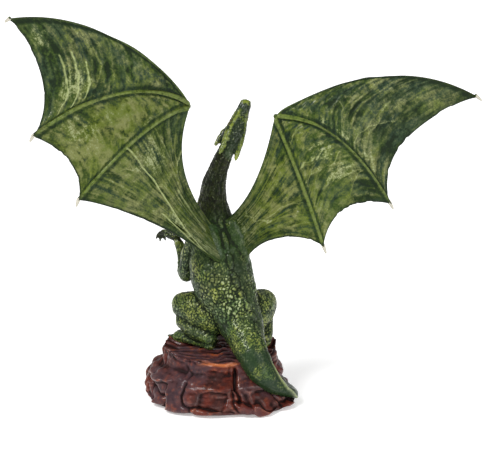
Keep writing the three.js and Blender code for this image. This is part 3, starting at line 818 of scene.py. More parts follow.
def wing_forms(wing, veins, seed):
    """The skin's two faces and the numbers that its paint reads. Behind = middle + normal x half
    thickness, and before = middle - normal x half thickness, each with its own relief. The half
    thickness falls to nothing at the rim as a quarter circle, so the two faces meet."""
    nick = rise(0.5, 0.8, fan_clouds(u_grid * 18, v_grid * 3, seed + 1))
    middle = fan(wing, u_grid, v_grid * (1 - NICK_DEEP * nick * v_grid**8))
    step_u, step_v = steps_of(middle)
    normal = unit(np.cross(np.gradient(middle, axis=0), np.gradient(middle, axis=1)))
    normal = normal * np.sign(normal[..., 1].mean())

    finger = np.round(np.minimum(u_grid, 2.49))  # the nearest of fingers 0, 1 and 2
    from_finger = np.abs(u_grid - finger) * step_u
    finger_half = lerp(1.0, 0.62, v_grid)
    bone = np.sqrt(held(1 - (from_finger / finger_half) ** 2))
    finger_high = lerp(FINGER_THICK, FINGER_THIN, v_grid) / 2
    arm_high = lerp(FINGER_THICK, SHOULDER_THICK, held(u_grid - 2)) / 2
    arm_high = np.where(u_grid >= 2, arm_high * held(1 - (v_grid / 0.16) ** 2), 0)
    half = np.maximum(SKIN / 2, np.maximum(finger_high * bone, arm_high))

    drift = fan_clouds(u_grid * 1.7, v_grid * 5, seed) - 0.5
    wide = folded(fan_clouds(u_grid * 1.9, (v_grid + 0.10 * drift) * 13, seed + 5, 3))
    thin = folded(fan_clouds(u_grid * 3.4, (v_grid + 0.05 * drift) * 34, seed + 8, 9))
    pillow = clouds(middle / 9.0, 2, seed + 9) - 0.5
    leather = clouds(middle / 1.6, 2, seed + 12) - 0.5
    to_hem, to_root = (1 - v_grid) * step_v, (3 - u_grid) * step_u
    calm = rise(0.5, 3.0, from_finger) * rise(0.02, 0.12, v_grid)
    calm = calm * rise(0, 2.2, to_hem) * rise(0, 2.2, to_root)
    skin = calm * (FOLD_HIGH * (wide - 0.6) + LINE_HIGH * (thin - 0.6) + PILLOW_HIGH * pillow
                   + LEATHER_HIGH * leather)
    vein = vein_relief(veins, step_u, step_v, seed + 3) * rise(0, 0.8, to_hem)
    rim = quarter(to_hem, 0.55) * quarter(v_grid * step_v, 1.5)
    rim = rim * quarter(u_grid * step_u, 1.0) * quarter(to_root, 1.0)
    rim = np.where(on_edge, 0, rim)

    brushed = 0.50 * (wide - 0.55) + 0.4 * (thin - 0.55) + 0.4 * pillow + 0.5 * leather
    mark = 0.5 + calm * brushed * 0.9 + 0.5 * vein + 0.2 * bone
    # Painted shade: the skin along each finger is pushed down, so the wash darkens the groove at
    # the finger's foot.
    mark = mark - 0.2 * ridge(np.minimum(from_finger, 6) - 1.5, 1.0)
    hem = np.maximum(ridge(to_hem, 1.1), ridge(u_grid * step_u, 0.9))
    hem = np.maximum(hem, ridge(v_grid * step_v, 0.9) * (u_grid > 2))
    hem = hem * (1 - rise(2.6, 2.95, u_grid))
    hem = np.maximum(hem, bone * rise(0.955, 0.985, v_grid))
    looks = {"raised": held(mark * (1 - 0.8 * hem) + 0.2 * 0.8 * hem), "finger": bone,
             "vein": held(vein / 0.6), "hem": hem,
             # a dark band either side of each finger: painted shade at its foot
             "shade_beside_finger": ridge(from_finger - 1.4, 1.2), "fan_u": u_grid, "fan_v": v_grid}
    groove = ridge(from_finger - 1.5, 1.1) * GROOVE_DEEP
    above = half * rim + (skin + vein - groove) * rim
    below = half * rim - (0.8 * skin - 0.4 * vein) * rim
    return middle + normal * above[..., None], middle - normal * below[..., None], looks


def wing_sheet(wing, veins, pale_spots, bright_spot, seed):
    """The two faces joined into one closed mesh, in which they share the points of the rim."""
    behind, before, looks = wing_forms(wing, veins, seed)
    u0, v0, strength = bright_spot
    looks["bright"] = (strength * bell(u_grid, u0, 0.5) * bell(v_grid, v0, 0.5)
                       - 0.6 * (1 - rise(0.6, 1.1, u_grid)))
    looks["pale"] = np.max([bell(u_grid, u, wide) * bell(v_grid, v, high)
                            for u, v, wide, high in pale_spots], axis=0)
    near = np.arange(u_grid.size).reshape(u_grid.shape)
    far = np.where(on_edge, near, near + u_grid.size)
    sides = [np.stack([index[:-1, :-1], index[1:, :-1], index[1:, 1:], index[:-1, 1:]], -1)
             for index in (near, far)]
    faces = np.vstack([sides[0].reshape(-1, 4), sides[1][..., ::-1].reshape(-1, 4)])
    used = np.unique(faces)
    renumber = np.zeros(2 * u_grid.size, int)
    renumber[used] = np.arange(len(used))
    points = np.vstack([behind.reshape(-1, 3), before.reshape(-1, 3)])
    looks = {name: np.tile(values.ravel(), 2)[used] for name, values in looks.items()}
    return points[used], renumber[faces], looks

# %% The two wings
LEFT_PALE = [  # u, v, and how far each pale spot reaches along u and along v
    (2.62, 0.80, 0.10, 0.10), (2.16, 0.60, 0.05, 0.07), (0.72, 0.80, 0.25, 0.13),
    (1.85, 0.34, 0.14, 0.14), (2.72, 0.85, 0.2, 0.12), (2.2, 0.42, 0.18, 0.16),
    (1.25, 0.80, 0.3, 0.12), (0.12, 0.90, 0.14, 0.07),
]
RIGHT_PALE = [
    (1.45, 0.58, 0.26, 0.14), (0.93, 0.55, 0.10, 0.3), (2.85, 0.35, 0.12, 0.25),
    (0.15, 0.15, 0.2, 0.14), (1.35, 0.78, 0.3, 0.06),
]
LEFT_BRIGHT, RIGHT_BRIGHT = (1.5, 0.6, 1.5), (2.4, 0.6, 0.8)  # u, v and strength


def make_wing(name, wing, veins, pale_spots, bright_spot, seed):
    """The sheet, the wrist knuckle and a claw at each finger's tip, in one mesh."""
    sheet, faces, looks = wing_sheet(wing, veins, pale_spots, bright_spot, seed)
    wrist = np.array(wing["wrist"])
    inside = unit(np.mean(wing["tips"], axis=0) - wrist) * 0.5
    knob = [[*(wrist + inside - [0, 0.9, 0]), 0.9, 0.9], [*(wrist + inside + [0, 1.2, 0]), 1, 1]]
    shells = [(sheet, faces), limb(knob, rows=KNOB_ROWS, sides=KNOB_SIDES, dome=0.5)]
    for finger in range(3):
        tip, inner = (fan(wing, np.array([float(finger)]), np.array([v]))[0] for v in (0.985, 0.9))
        end = tip + unit(tip - inner) * 2.4 + np.array(CLAW_HOOK)
        shells.append(limb(spike(tip, end, 0.85, 0.3), CLAW_ROWS, CLAW_SIDES, dome=0.25))
    points, faces = join(shells)
    points = keep_inside(points, name)
    mesh = make_mesh(name + "_skin", points, faces)
    extra = len(points) - len(sheet)
    for key, values in looks.items():
        plain_value = {"raised": 0.45, "finger": 0.5}.get(key, 0.0)
        store(mesh, key, np.concatenate([values, np.full(extra, plain_value)]))
    store(mesh, "claw", np.arange(len(points)) >= len(sheet) + KNOB_ROWS * KNOB_SIDES)
    return mesh


left_wing = make_wing("left_wing", LEFT_WING, LEFT_VEINS, LEFT_PALE, LEFT_BRIGHT, 51)
right_wing = make_wing("right_wing", RIGHT_WING, RIGHT_VEINS, RIGHT_PALE, RIGHT_BRIGHT, 71)

# %% [markdown]
# ## The rock
#
# The plinth is a lump of bedded rock. It could be a sculpted ball, but then it wouldn't fit its
# solid. The solid model stacks ten rings of scattered points, and the same rings are repeated
# here, with many more points between them.

# %% Beds of the rock
PLINTH_HEIGHT, PLINTH_RADIUS = 20.0, 28.0
ROCK_CORNERS = 26
BEDS = np.array([  # height, radius, shift towards +X, roughness, share of bulge, share of shelf
    [0, PLINTH_RADIUS - 0.4, 0.2, 0.6, 1, 0],
    [1.8, PLINTH_RADIUS + 0.3, 0.4, 0.7, 1, 0],
    [3.2, PLINTH_RADIUS + 0.2, 0.6, 0.9, 0.8, 1],
    [7.5, PLINTH_RADIUS - 0.6, 1.6, 1.2, 0.1, 0.6],
    [11.2, PLINTH_RADIUS - 1.8, 2.7, 1.2, 0, 0],
    [13.2, PLINTH_RADIUS - 3.6, 2.4, 1.2, 0, 0],
    [15.0, PLINTH_RADIUS - 5.8, 1.2, 0.8, 0, 0],
    [18.0, PLINTH_RADIUS - 6.0, 1.1, 0.9, 0, 0],
    [PLINTH_HEIGHT + 0.6, PLINTH_RADIUS - 6.2, 1.0, 0.8, 0, 0],
    [PLINTH_HEIGHT, PLINTH_RADIUS - 12, 1, 0.8, 0, 0],
])
RIM_BED = 8


def scatter(i, j):
    """The solid model's own scatter: the fraction of a large multiple of a sine."""
    s = np.sin(i * 127.1 + j * 311.7) * 43758.5453
    return s - np.floor(s)


def turn_between(a, b):
    """How many degrees apart two directions are, the short way round."""
    return np.abs((a - b + 540) % 360 - 180)


def lump(direction, at, width, height):
    """A rounded lump: height x (1 - (away / width)^2), with `away` in degrees."""
    return height * np.maximum(0, 1 - (turn_between(direction, at) / width) ** 2)


def ring(bed, turns):
    """One bed's points at the given turns, by straight steps between its 26 corners."""
    height, radius, shift, rough, bulge_share, shelf_share = BEDS[bed]
    i = np.arange(ROCK_CORNERS)
    corner = (i + 0.5 * (bed % 2)) / ROCK_CORNERS
    degrees = 360 * corner
    bulge = (lump(degrees, 140, 20, 1.4) + lump(degrees, 115, 34, 3.2)
             + lump(degrees, 5, 40, 1.6) + lump(degrees, 60, 22, 0.6))
    shelf = lump(degrees, 176, 46, 5.5)
    reach = radius + rough * (scatter(i, bed) * 2 - 1) + bulge_share * bulge - shelf_share * shelf
    ragged = 0 if bed == 0 else (scatter(i + 50, bed) - 0.5) * 1.2
    crag = lump(degrees, 168, 16, 2.4) + lump(degrees, -34, 18, 1.4) if bed == RIM_BED else 0
    corners = np.stack([shift + reach * np.cos(2 * np.pi * corner),
                        reach * np.sin(2 * np.pi * corner),
                        0 * reach + height + ragged + crag], -1)
    first = np.floor((turns - corner[0]) * ROCK_CORNERS).astype(int)
    share = ((turns - corner[0]) * ROCK_CORNERS - first)[:, None]
    return lerp(corners[first % ROCK_CORNERS], corners[(first + 1) % ROCK_CORNERS], share)


ROCK_SIDES = 400
ROCK_STEP = 0.42  # how far apart the rows of points on the flank are
turns = np.arange(ROCK_SIDES) / ROCK_SIDES
beds = np.stack([ring(bed, turns) for bed in range(len(BEDS))])
underside = beds[:1] * np.array([1, 1, 0]) * np.linspace(0.04, 0.985, 12)[:, None, None]
flank = []
for bed, following in zip(beds[:-1], beds[1:]):
    rows = 1 + int(np.linalg.norm(following - bed, axis=-1).mean() / ROCK_STEP)
    flank.append(lerp(bed, following, np.linspace(0, 1, rows, endpoint=False)[:, None, None]))
top_middle = np.array([0, 0, PLINTH_HEIGHT])
top = lerp(beds[-1:], top_middle, np.linspace(0, 0.96, 26)[:, None, None])
rock_rings = np.concatenate([underside, *flank, top])
rock_points, rock_quads = tube(rock_rings)
print("rock grid:", rock_rings.shape)

# %% [markdown]
# ### Boulders, beds and cracks
#
# The flank of the rock is a pile of rounded blocks with a crease between each two. It could be
# broken with a fracture tool, but then no block could be put where it belongs. Here each block
# is one row of a table, and a point belongs to the block whose oval it is deepest in. Thin beds
# break the top, and chips and grit are laid over everything.

# %% Boulders, beds and cracks
BOULDERS = np.array([  # direction, height, half width in degrees, half height, standing out
    [61, 11.0, 22, 9.5, 1.0], [24, 7.0, 17, 11.5, 0.4], [-10, 7.5, 15, 7.5, -0.2],
    [101, 9.0, 15, 8.0, 0.2], [128, 7.0, 13, 7.5, 0.3], [4, 2.0, 9, 5.0, 0.3],
    [54, 0.0, 17, 5.0, 1.0], [93, 0.5, 14, 6.0, 1.2], [120, 1.0, 11, 3.2, 0.8],
    [151, 15.0, 11, 3.6, 1.2], [159, 7.0, 15, 5.0, 0.3], [187, 10.0, 17, 8.0, 0.8],
    [180, 1.0, 12, 3.4, 0.4], [221, 9.0, 17, 8.5, 0.2], [208, 1.2, 12, 3.4, 0.9],
    [254, 10.0, 16, 8.0, 0.9], [240, 1.0, 12, 3.2, 0.5], [288, 8.5, 18, 8.5, 0.3],
    [272, 1.0, 12, 3.4, 0.8], [322, 9.5, 16, 8.0, 0.8], [305, 1.2, 11, 3.4, 0.4],
    [338, 1.5, 12, 3.6, -0.2],
])
BLOCK, CHIP = [15.0, 15.0, 11.0], [4.6, 4.6, 3.0]  # sizes of the broken faces and of the chips
GAP_WIDE = 0.7  # where a boulder is at its full height, counted in its half widths
FACET_HIGH, CREASE_DEEP, STREAK_HIGH, CHIP_HIGH = 1.7, 1.8, 0.7, 0.22
BED_OUT, LIP_OUT, GRIT_HIGH, CREVICE_DEEP = 1.2, 0.9, 0.35, 1.9
BED_HIGH = 1.9  # height of a step on the top
CREVICE_AT = 82  # direction of the deepest crack

rock = make_mesh("rock_skin", *join([(rock_points, rock_quads)]))
rock_edges = read_edges(rock)
rounded = relax(read_points(rock), rock_edges, 3)
rounded[:, 2] = np.maximum(rounded[:, 2], 0)
rescale(rock, rounded)


def facets(size, shift, seed):
    """Broken faces: each cell is a plane through its seed with a tilt of its own, so its height
    is the way from the seed times the tilt. Also gives the cell's fixed number."""
    number, way = pebbles((rounded + shift) / size, seed)[2:]
    turn = 2 * np.pi * number
    tilt = np.stack([np.cos(7 * turn), np.sin(7 * turn), np.cos(13 * turn)], -1)
    return np.einsum("ij,ij->i", way, tilt), number


x, y, z = rounded.T
direction = np.degrees(np.arctan2(y, x))
bend = clouds(rounded / 7.0, 2, 5) - 0.5
sway = clouds(rounded / 5.0 + 30, 2, 6) - 0.5
bent = direction + 34 * bend * rise(0, 5, z) + 0.9 * (z - 9)
away_turn = turn_between(bent[:, None], BOULDERS[:, 0])
away_high = z[:, None] + 3.0 * sway[:, None] - BOULDERS[:, 1]
away = np.hypot(away_turn / BOULDERS[:, 2], away_high / BOULDERS[:, 3])
nearest, second = np.partition(away, 1, axis=1)[:, :2].T
gap = held((second - nearest) / GAP_WIDE)
boulder = 0.8 * BOULDERS[np.argmin(away, axis=1), 4] - 0.5 * nearest**2

on_flank = rise(0.0, 1.0, z) * (1 - rise(18.6, 19.8, z))
on_top = rise(17.6, 19.4, z)
below_beds = 1 - 0.75 * rise(10.5, 13.0, z)
side_beds = rise(11.5, 13.5, z) * rise(25, 60, turn_between(direction, 61))
bed_place = z + 0.42 * (0.34 * x + 0.94 * y) + 2.4 * bend  # the beds rise towards the back
layers = clouds(np.stack([x / 8, y / 8, bed_place / 0.8], -1), 2, 29) - 0.5
step_up = (bed_place / BED_HIGH) % 1
terrace = step_up**1.6 * (1 - rise(0.86, 1.0, step_up))
slate = rise(0.40, 0.60, clouds(rounded / 8.0, 2, 71) + 0.25 * lump(direction, 20, 30, 1.0))
streaks = clouds(np.stack([x / 5, y / 5, (z + 1.5 * sway) / 0.9], -1), 3, 33) - 0.5
streaks = streaks * (1 - 0.65 * slate * (1 - on_top))
chips = rise(0.42, 0.60, clouds(rounded / 6.0, 2, 61)) * facets(CHIP, 0, 23)[0]
broken, own = facets(BLOCK, 4.0 * bend[:, None], 17)
crevice = ridge((direction - CREVICE_AT - 8 * bend) * 0.47, 1.3)
crevice = crevice * rise(3.5, 6.5, z) * (1 - rise(16, 18.5, z))
lip = bell(z + 1.5 * sway, 19.5, 0.8) * held(lump(direction, 66, 22, 1.6))
lip = lip * rise(19.0, 20.4, np.hypot(x - 1, y))

blocks = below_beds * (FACET_HIGH * broken + boulder - CREASE_DEEP * (1 - gap) ** 3)
relief = on_flank * (blocks + 0.4 * (own - 0.5) + CHIP_HIGH * chips + STREAK_HIGH * streaks
                     + BED_OUT * side_beds * layers)
relief = relief + on_top * (1.5 * (terrace - 0.6) + 0.8 * layers)
grit = clouds(rounded / 0.9, 3, 37) - 0.5
relief = relief + LIP_OUT * lip + GRIT_HIGH * grit - CREVICE_DEEP * crevice
tucked = 1.2 * (1 - rise(0, 3.0, z)) ** 2 * (z > 0.01)  # the foot draws in to the ground
relief = (relief - 0.2) * rise(0.0, 1.2, z) - tucked
chiselled = sculpt(rock, relief)
chiselled[:, 2] = np.maximum(chiselled[:, 2], 0)
rescale(rock, keep_inside(relax(chiselled, rock_edges, 2), "rock_plinth"))
print("rock relief, mm:", np.round(np.percentile(relief, [0, 5, 50, 95, 100]), 2))
near_high, shaded_hollow = standing(rock, rock_edges, 3), np.minimum(standing(rock, rock_edges, 14), 0)
for name, values in {
    # Broad hollows only lower this value, so the wash paints shade into them; small ridges and
    # streaks raise and lower it as paint.
    "raised": 0.5 + 0.9 * near_high + 0.5 * shaded_hollow + 0.5 * streaks + 0.3 * on_top * layers,
    "crevice": 0.35 * held(1.0 - 3.0 * gap) * on_flank + crevice,
    "ledge": lip * rise(0.3, 0.6, layers + streaks + 0.6),
    "slate": slate,
}.items():
    store(rock, name, held(values))

# %% [markdown]
# ## Paint
#
# The figure is painted in three coats: a dark base, a darker wash that settles in the creases
# and doubles as painted shade there, and a nearly dry brush that leaves light paint on whatever
# stands up. The same effect is used on the hide, the wings and the rock, so it is one node group
# with its own inputs. It reads how far the surface stands up, which is stored on the mesh, and
# breaks the brush marks with noise.

# %% Node helpers
def paint(red, green, blue):
    """A display colour of 0 to 255 as the linear colour that a shader wants."""
    c = np.array([red, green, blue]) / 255
    linear = np.where(c <= 0.04045, c / 12.92, ((c + 0.055) / 1.055) ** 2.4)
    return (*[float(x) for x in linear], 1.0)


class Tree:
    """A node tree with short ways to add a node and to feed its sockets."""

    def __init__(self, tree):
        self.tree = tree

    def node(self, kind, **inputs):
        """Adds a node. A name that is one of the node's settings sets it, and any other name is
        a socket, with _ for a space, or _ and the socket's number."""
        new = self.tree.nodes.new("ShaderNode" + kind)
        for key, value in inputs.items():
            if key in new.bl_rna.properties:
                setattr(new, key, value)
        for key, value in inputs.items():
            if key not in new.bl_rna.properties:
                number = key[1:].isdigit()
                self.feed(new.inputs[int(key[1:]) if number else key.replace("_", " ")], value)
        return new

    def feed(self, socket, value):
        """Puts a number or a colour on a socket, or links an output to it. A word is the name of
        a number stored on the mesh."""
        if isinstance(value, str):
            value = self.stored(value)
        if isinstance(value, bpy.types.NodeSocket):
            self.tree.links.new(value, socket)
        else:
            socket.default_value = value

    def stored(self, name):
        """A number stored on the mesh."""
        return self.node("Attribute", attribute_name=name).outputs["Fac"]

    def times(self, a, b, clamp=False):
        """Two numbers multiplied."""
        return self.node("Math", operation="MULTIPLY", use_clamp=clamp, _0=a, _1=b).outputs[0]

    def plus(self, a, b, clamp=False):
        """Two numbers added."""
        return self.node("Math", operation="ADD", use_clamp=clamp, _0=a, _1=b).outputs[0]

    def shaken(self, value, noise, strength):
        """A value moved up and down by noise, which is counted from its middle."""
        return self.plus(value, self.times(self.plus(noise, -0.5), strength))

    def ramp(self, value, low, high, out_low=0.0, out_high=1.0):
        """A smooth step from low to high."""
        new = self.node("MapRange", interpolation_type="SMOOTHSTEP", Value=value, From_Min=low,
                        From_Max=high, To_Min=out_low, To_Max=out_high)
        return new.outputs["Result"]

    def mix(self, factor, under, over):
        """A mix of two colours."""
        return self.node("Mix", data_type="RGBA", _0=factor, _6=under, _7=over).outputs[2]

    def coat(self, under, mask, strength, over):
        """One colour laid over another, as strongly as a mask times a number says."""
        return self.mix(self.times(mask, strength), under, over)

    def noise(self, scale, detail, rough, where=None):
        """Noise on the figure's own coordinates, unless it is told another place."""
        if where is None:
            where = self.node("TexCoord").outputs["Object"]
        new = self.node("TexNoise", Vector=where, Scale=scale, Detail=detail, Roughness=rough)
        return new.outputs["Fac"]


def new_group(name, inputs, outputs):
    """An empty shader group with named sockets. Its inputs are given with their first values."""
    group = bpy.data.node_groups.new(name, "ShaderNodeTree")
    for label, value in inputs.items():
        kind = "NodeSocketColor" if isinstance(value, tuple) else "NodeSocketFloat"
        socket = group.interface.new_socket(label, in_out="INPUT", socket_type=kind)
        socket.default_value = value
    for label, kind in outputs.items():
        group.interface.new_socket(label, in_out="OUTPUT", socket_type="NodeSocket" + kind)
    entry, leave = (group.nodes.new(kind) for kind in ("NodeGroupInput", "NodeGroupOutput"))
    return group, Tree(group), entry.outputs, leave.inputs

# %% The dry brush, shared by all three paints
brush_group, t, given, out = new_group(
    "dry_brush",
    {"Under": (0.1, 0.1, 0.1, 1), "Wash": (0.01, 0.01, 0.01, 1), "Brush": (0.5, 0.5, 0.5, 1),
     "Raised": 0.5, "Wash Depth": 0.8, "Brush From": 0.55, "Brush To": 0.85, "Breakup": 0.25,
     "Breakup Scale": 900.0},
    {"Color": "Color"})
level = t.shaken(given["Raised"], t.noise(given["Breakup Scale"], 3.0, 0.65), given["Breakup"])
# The wash lies where the surface is low: it is the painter's wash and painted shade in the creases
# at once.
shaded_hollow = t.ramp(given["Raised"], 0.5, 0.22)
washed = t.coat(given["Under"], shaded_hollow, given["Wash Depth"], given["Wash"])
brushed = t.ramp(level, given["Brush From"], given["Brush To"])
t.feed(out["Color"], t.mix(brushed, washed, given["Brush"]))

# %% Cloudy paint: two tones of one coat that drift into each other
cloud_group, t, given, out = new_group(
    "two_tones",
    {"Tone A": (0.1, 0.1, 0.1, 1), "Tone B": (0.2, 0.2, 0.2, 1), "Scale": 120.0},
    {"Color": "Color"})
drift = t.ramp(t.noise(given["Scale"], 4.0, 0.6), 0.4, 0.6)
t.feed(out["Color"], t.mix(drift, given["Tone A"], given["Tone B"]))


def use(tree, group, **inputs):
    """Places a group, feeds its inputs and gives its colour."""
    node = tree.tree.nodes.new("ShaderNodeGroup")
    node.node_tree = group
    for key, value in inputs.items():
        tree.feed(node.inputs[key.replace("_", " ")], value)
    return node.outputs["Color"]


def tones(tree, one, other, scale):
    """Two tones, each given as red, green and blue, in clouds."""
    return use(tree, cloud_group, Tone_A=paint(*one), Tone_B=paint(*other), Scale=scale)

# %% A material with its Principled shader
def new_material(name):
    """A material with a node tree and a bare Principled shader."""
    material = bpy.data.materials.new(name)
    material.use_nodes = True
    shader = material.node_tree.nodes["Principled BSDF"]
    return material, Tree(material.node_tree), shader.inputs


def varnish(tree, shader, colour, coat, rough, grain):
    """Feeds the shader of a hand-painted casting. The grain of the casting and of the brush is a
    bump too fine for the mesh, given as scale, strength and distance."""
    scale, strength, distance = grain
    bump = tree.node("Bump", Strength=strength, Distance=distance,
                     Height=tree.noise(scale, 5.0, 0.6))
    for name, value in {"Base Color": colour, "Coat Weight": coat, "Roughness": rough,
                        "Normal": bump.outputs["Normal"], "Specular IOR Level": 0.08,
                        "Coat Roughness": 0.22}.items():
        tree.feed(shader[name], value)

# %% [markdown]
# ### The hide's paint
#
# The back is a grey olive with paler, yellower scales. A band down the left of the back, the
# side that faces the key light, and the thighs get a paler, wider brush: that is painted
# highlight. The neck and the hands are nearly black, and the tail is a plain dark green.
# Painting each part by hand would be lost when the mesh changes, so each part's mask is stored
# on the mesh and mixes its own colour in.

# %% Hide paint
# The wash colour, laid into low places: a wash and painted shade in the creases.
WASH_AND_SHADE = paint(23, 31, 18)
hide, t, shader = new_material("hide_paint")
base = tones(t, (32, 44, 26), (50, 64, 38), 90.0)
base = t.mix("tail", base, paint(26, 46, 24))
base = t.coat(base, "socket", 0.8, paint(38, 58, 22))
base = t.mix("dusky", base, tones(t, (15, 16, 6), (34, 40, 12), 520.0))
sea = t.ramp(t.noise(130.0, 3.0, 0.6), 0.48, 0.62, 0.0, 0.75)
scaly = t.mix(sea, tones(t, (66, 83, 44), (90, 98, 54), 75.0), paint(44, 72, 40))
smooth_parts = t.plus("tail", t.times("dusky", 2.0), True)
on_scale = t.times(t.ramp("scale", 0.12, 0.62), t.plus(0.95, t.times(smooth_parts, -0.8)), True)
base = t.mix(on_scale, base, scaly)
lime = t.coat(tones(t, (92, 108, 42), (130, 138, 60), 160.0), sea, 0.8, paint(66, 96, 50))
# Where the lit patch is high the lime brush reaches further: random patches, and painted highlight
# on the lit band and the thighs.
reach = t.ramp("lit_patch", 0.0, 1.0, 0.66, 0.42)
for name, later in (("dusky", 0.34), ("tail", 0.05), ("head", 0.22), ("socket", 0.10)):
    reach = t.plus(reach, t.times(name, later))
# The wash darkens the hide's creases, as painted shade as well as wash.
colour = use(t, brush_group, Under=base, Wash=WASH_AND_SHADE, Brush=lime, Raised="raised",
             Wash_Depth=0.95, Brush_From=reach, Brush_To=t.plus(reach, 0.36), Breakup=0.75,
             Breakup_Scale=1300.0)
# The pale coat is painted highlight, laid on the band that faces the key light.
pale_from = t.ramp("pale", 0.0, 1.0, 0.86, 0.56)
colour = use(t, brush_group, Under=colour, Wash=WASH_AND_SHADE, Brush=paint(156, 166, 124),
             Raised="raised", Wash_Depth=0.0, Brush_From=pale_from,
             Brush_To=t.plus(pale_from, 0.4), Breakup=0.6, Breakup_Scale=1100.0)
colour = t.coat(colour, "keel", 0.5, paint(134, 142, 108))
mottled = t.shaken("raised", t.noise(900.0, 3.0, 0.7), 2.4)
browed = t.ramp(t.times("brow", t.plus(mottled, 0.1)), 0.30, 0.9)
colour = t.coat(colour, browed, 0.85, tones(t, (84, 98, 28), (122, 134, 42), 500.0))
colour = t.coat(colour, "claw", 0.85, paint(58, 56, 40))
colour = t.coat(colour, "eye", 0.8, paint(78, 66, 22))
glossy = t.times(t.ramp("raised", 0.4, 0.9, 0.0, 0.9), t.ramp("dusky", 0.0, 1.0, 1.0, 0.3))
varnish(t, shader, colour, glossy, t.ramp("raised", 0.2, 0.8, 0.55, 0.36), (2400.0, 0.5, 0.0003))

# %% [markdown]
# ### The wings' paint
#
# The painter drew a nearly dry brush along the folds, and touched in the strongest veins. The
# marks follow the folds, so their noise is read from the wing's own u and v instead of from its
# place in space. The pale claws are left nearly bare.

# %% Wing paint
def brush_marks(tree, per_u, per_v, detail):
    """Noise drawn out along the skin's folds, from the wing's own u and v."""
    where = tree.node("CombineXYZ", X=tree.times("fan_u", per_u), Y=tree.times("fan_v", per_v))
    return tree.noise(1.0, detail, 0.6, where.outputs[0])


wing_paint, t, shader = new_material("wing_paint")
base = tones(t, (34, 49, 19), (52, 70, 26), 60.0)
slate = tones(t, (34, 52, 38), (52, 68, 42), 90.0)
base = t.mix(t.ramp(brush_marks(t, 2.6, 12.0, 3.0), 0.42, 0.62), base, slate)
# Painted shade: a darker band either side of each finger, where its foot meets the skin.
base = t.coat(base, "shade_beside_finger", 0.3, paint(28, 42, 24))
speckle = t.noise(620.0, 4.0, 0.7)
# This level drives the dry brush and, where it is low, the wash, which paints shade into the folds
# and beside the fingers.
brush_and_shade_level = t.shaken("raised", brush_marks(t, 6.0, 34.0, 5.0), 1.0)
brush_and_shade_level = t.shaken(brush_and_shade_level, speckle, 0.7)
brush_and_shade_level = t.shaken(brush_and_shade_level, t.noise(1500.0, 3.0, 0.7), 0.7)
lime = tones(t, (86, 99, 19), (108, 113, 58), 150.0)
# The wash darkens the low folds: wash and painted shade together.
colour = use(t, brush_group, Under=base, Wash=paint(25, 36, 22), Brush=lime,
             Raised=t.plus(brush_and_shade_level, t.times("bright", 0.16)), Wash_Depth=0.9, Brush_From=0.44,
             Brush_To=1.0, Breakup=0.3, Breakup_Scale=2500.0)
pale_from = t.ramp("pale", 0.0, 1.0, 0.94, 0.60)
colour = use(t, brush_group, Under=colour, Wash=WASH_AND_SHADE, Brush=paint(142, 150, 104),
             Raised=brush_and_shade_level, Wash_Depth=0.0, Brush_From=pale_from,
             Brush_To=t.plus(pale_from, 0.5), Breakup=0.8, Breakup_Scale=1500.0)
veined = t.times(t.ramp("vein", 0.35, 0.95), t.ramp(speckle, 0.36, 0.56, 0.4, 1.0))
colour = t.coat(colour, veined, 0.9, paint(160, 170, 112))
ribbed = t.times(t.ramp("finger", 0.2, 0.95), t.ramp(speckle, 0.38, 0.58, 0.15, 0.95))
colour = t.coat(colour, ribbed, 0.75, paint(100, 116, 52))
colour = t.mix(t.ramp("fan_u", 2.5, 3.0, 0.0, 0.55), colour, paint(36, 54, 22))
colour = t.coat(colour, "hem", 0.75, paint(32, 40, 28))
colour = t.mix("claw", colour, paint(190, 186, 172))
varnish(t, shader, colour, t.ramp(brush_and_shade_level, 0.45, 0.95, 0.0, 0.6), t.ramp(brush_and_shade_level, 0.2, 0.8, 0.55, 0.4),
        (1100.0, 0.6, 0.0004))

# %% [markdown]
# ### The rock's paint
#
# The rock is red-brown with slate patches and rust on its high edges. The deepest crack between
# two blocks is nearly black, and the lip over the front has caught a stroke of orange.

# %% Rock paint
rock_paint, t, shader = new_material("rock_paint")
base = tones(t, (88, 35, 25), (58, 31, 28), 140.0)
base = t.coat(base, "slate", 0.8, tones(t, (56, 42, 48), (72, 48, 51), 220.0))
rust = tones(t, (134, 66, 36), (116, 62, 50), 160.0)
# The wash darkens the rock's low places: wash and painted shade together.
colour = use(t, brush_group, Under=base, Wash=paint(20, 9, 8), Brush=rust, Raised="raised",
             Wash_Depth=0.9, Brush_From=0.50, Brush_To=0.98, Breakup=1.1, Breakup_Scale=450.0)
colour = t.coat(colour, "ledge", 0.8, paint(176, 98, 48))
colour = t.coat(colour, "crevice", 0.8, paint(22, 12, 11))
varnish(t, shader, colour, t.ramp("raised", 0.38, 0.75, 0.0, 0.8),
        t.ramp("raised", 0.2, 0.8, 0.5, 0.36), (1500.0, 0.4, 0.0003))

# %% [markdown]
# ## The four pieces
#
# Each piece takes the place of one solid and rides on the same body. Nothing on the figure
# moves, so there is only one body. The two wings are one paint job, and share their material.

# %% Pieces
rescale(body, keep_inside(read_points(body), "dragon_body"))
place("dragon", body, "dragon_body", "hide_paint", hide)
place("wing_left", left_wing, "left_wing", "wing_paint", wing_paint)
place("wing_right", right_wing, "right_wing", "wing_paint", wing_paint)
place("rock", rock, "rock_plinth", "rock_paint", rock_paint)

# %% [markdown]
# ## Light, floor and camera
#
# The figure stands on a plain white sweep under soft lights, as small things usually are when
# they are shown for sale. Area lights would light the near part of so large a sweep more than
# the far part, so two wide suns are used, and the white world and a faint glow fill the shade.

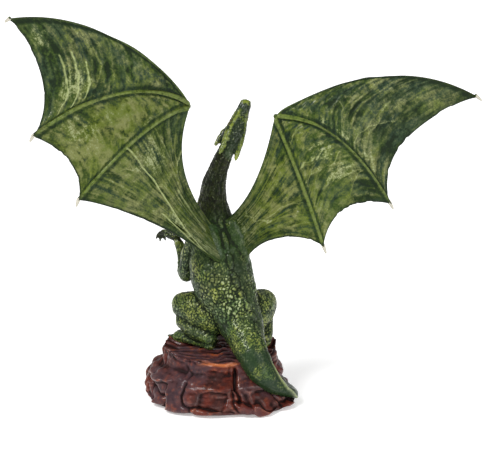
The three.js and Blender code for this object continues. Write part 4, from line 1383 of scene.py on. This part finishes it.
# %% Floor
FLOOR_HALF = 4.0  # metres
corners = [(x * FLOOR_HALF, y * FLOOR_HALF, 0) for x, y in ((-1, -1), (1, -1), (1, 1), (-1, 1))]
floor_mesh = bpy.data.meshes.new("floor")
floor_mesh.from_pydata(corners, [], [(0, 1, 2, 3)])
floor = new_object("floor", floor_mesh)
floor_paint, _, matt = new_material("white_floor")
for name, value in {"Base Color": (0.93, 0.93, 0.93, 1), "Roughness": 0.8,
                    "Emission Color": (1, 1, 1, 1), "Emission Strength": 0.35}.items():
    matt[name].default_value = value
floor_mesh.materials.append(floor_paint)

# %% Camera
AZIMUTH, ELEVATION = np.radians(20.0), np.radians(14.0)
SENSOR, LENS = 36.0, 135.1  # millimetres, as on a real camera
DISTANCE = 0.700  # metres from the camera to the point it looks at
LOOK_SIDE, LOOK_UP = 0.0091, 0.067  # that point, in metres from the middle of the rock's foot
sideways = np.array([-np.cos(AZIMUTH), np.sin(AZIMUTH), 0])
behind = np.array([np.sin(AZIMUTH), np.cos(AZIMUTH), 0])


def toward(side, back, up):
    """A point to the camera's right, behind the figure's back, and up, in metres."""
    return sideways * side + behind * back + np.array([0, 0, up])


def aim(thing, start, end):
    """Stands a camera or a light at one point, looking at another."""
    thing.location = start
    thing.rotation_euler = Vector((end - start).tolist()).to_track_quat("-Z", "Y").to_euler()


target = toward(LOOK_SIDE, 0, LOOK_UP)
camera_data = bpy.data.cameras.new("camera")
camera_data.sensor_width = SENSOR
camera_data.lens = LENS
camera = new_object("camera", camera_data)
aim(camera, target + toward(0, np.cos(ELEVATION), np.sin(ELEVATION)) * DISTANCE, target)
bpy.context.scene.camera = camera

# %% Lights
def soft_sun(name, start, power, spread):
    """A wide sun, which lights the figure and the whole sweep evenly."""
    data = bpy.data.lights.new(name, "SUN")
    data.energy = power
    data.angle = spread
    aim(new_object(name, data), start, np.array([0, 0, 0.07]))


soft_sun("key", toward(-0.60, 0.60, 1.00), 2.35, 0.45)
soft_sun("fill", toward(0.9, 0.8, 0.6), 1.2, 0.9)
world = bpy.data.worlds.new("studio")
world.use_nodes = True
sky = world.node_tree.nodes["Background"].inputs
sky["Color"].default_value = (1, 1, 1, 1)
sky["Strength"].default_value = 0.46
bpy.context.scene.world = world
bpy.context.scene.view_settings.view_transform = "Standard"
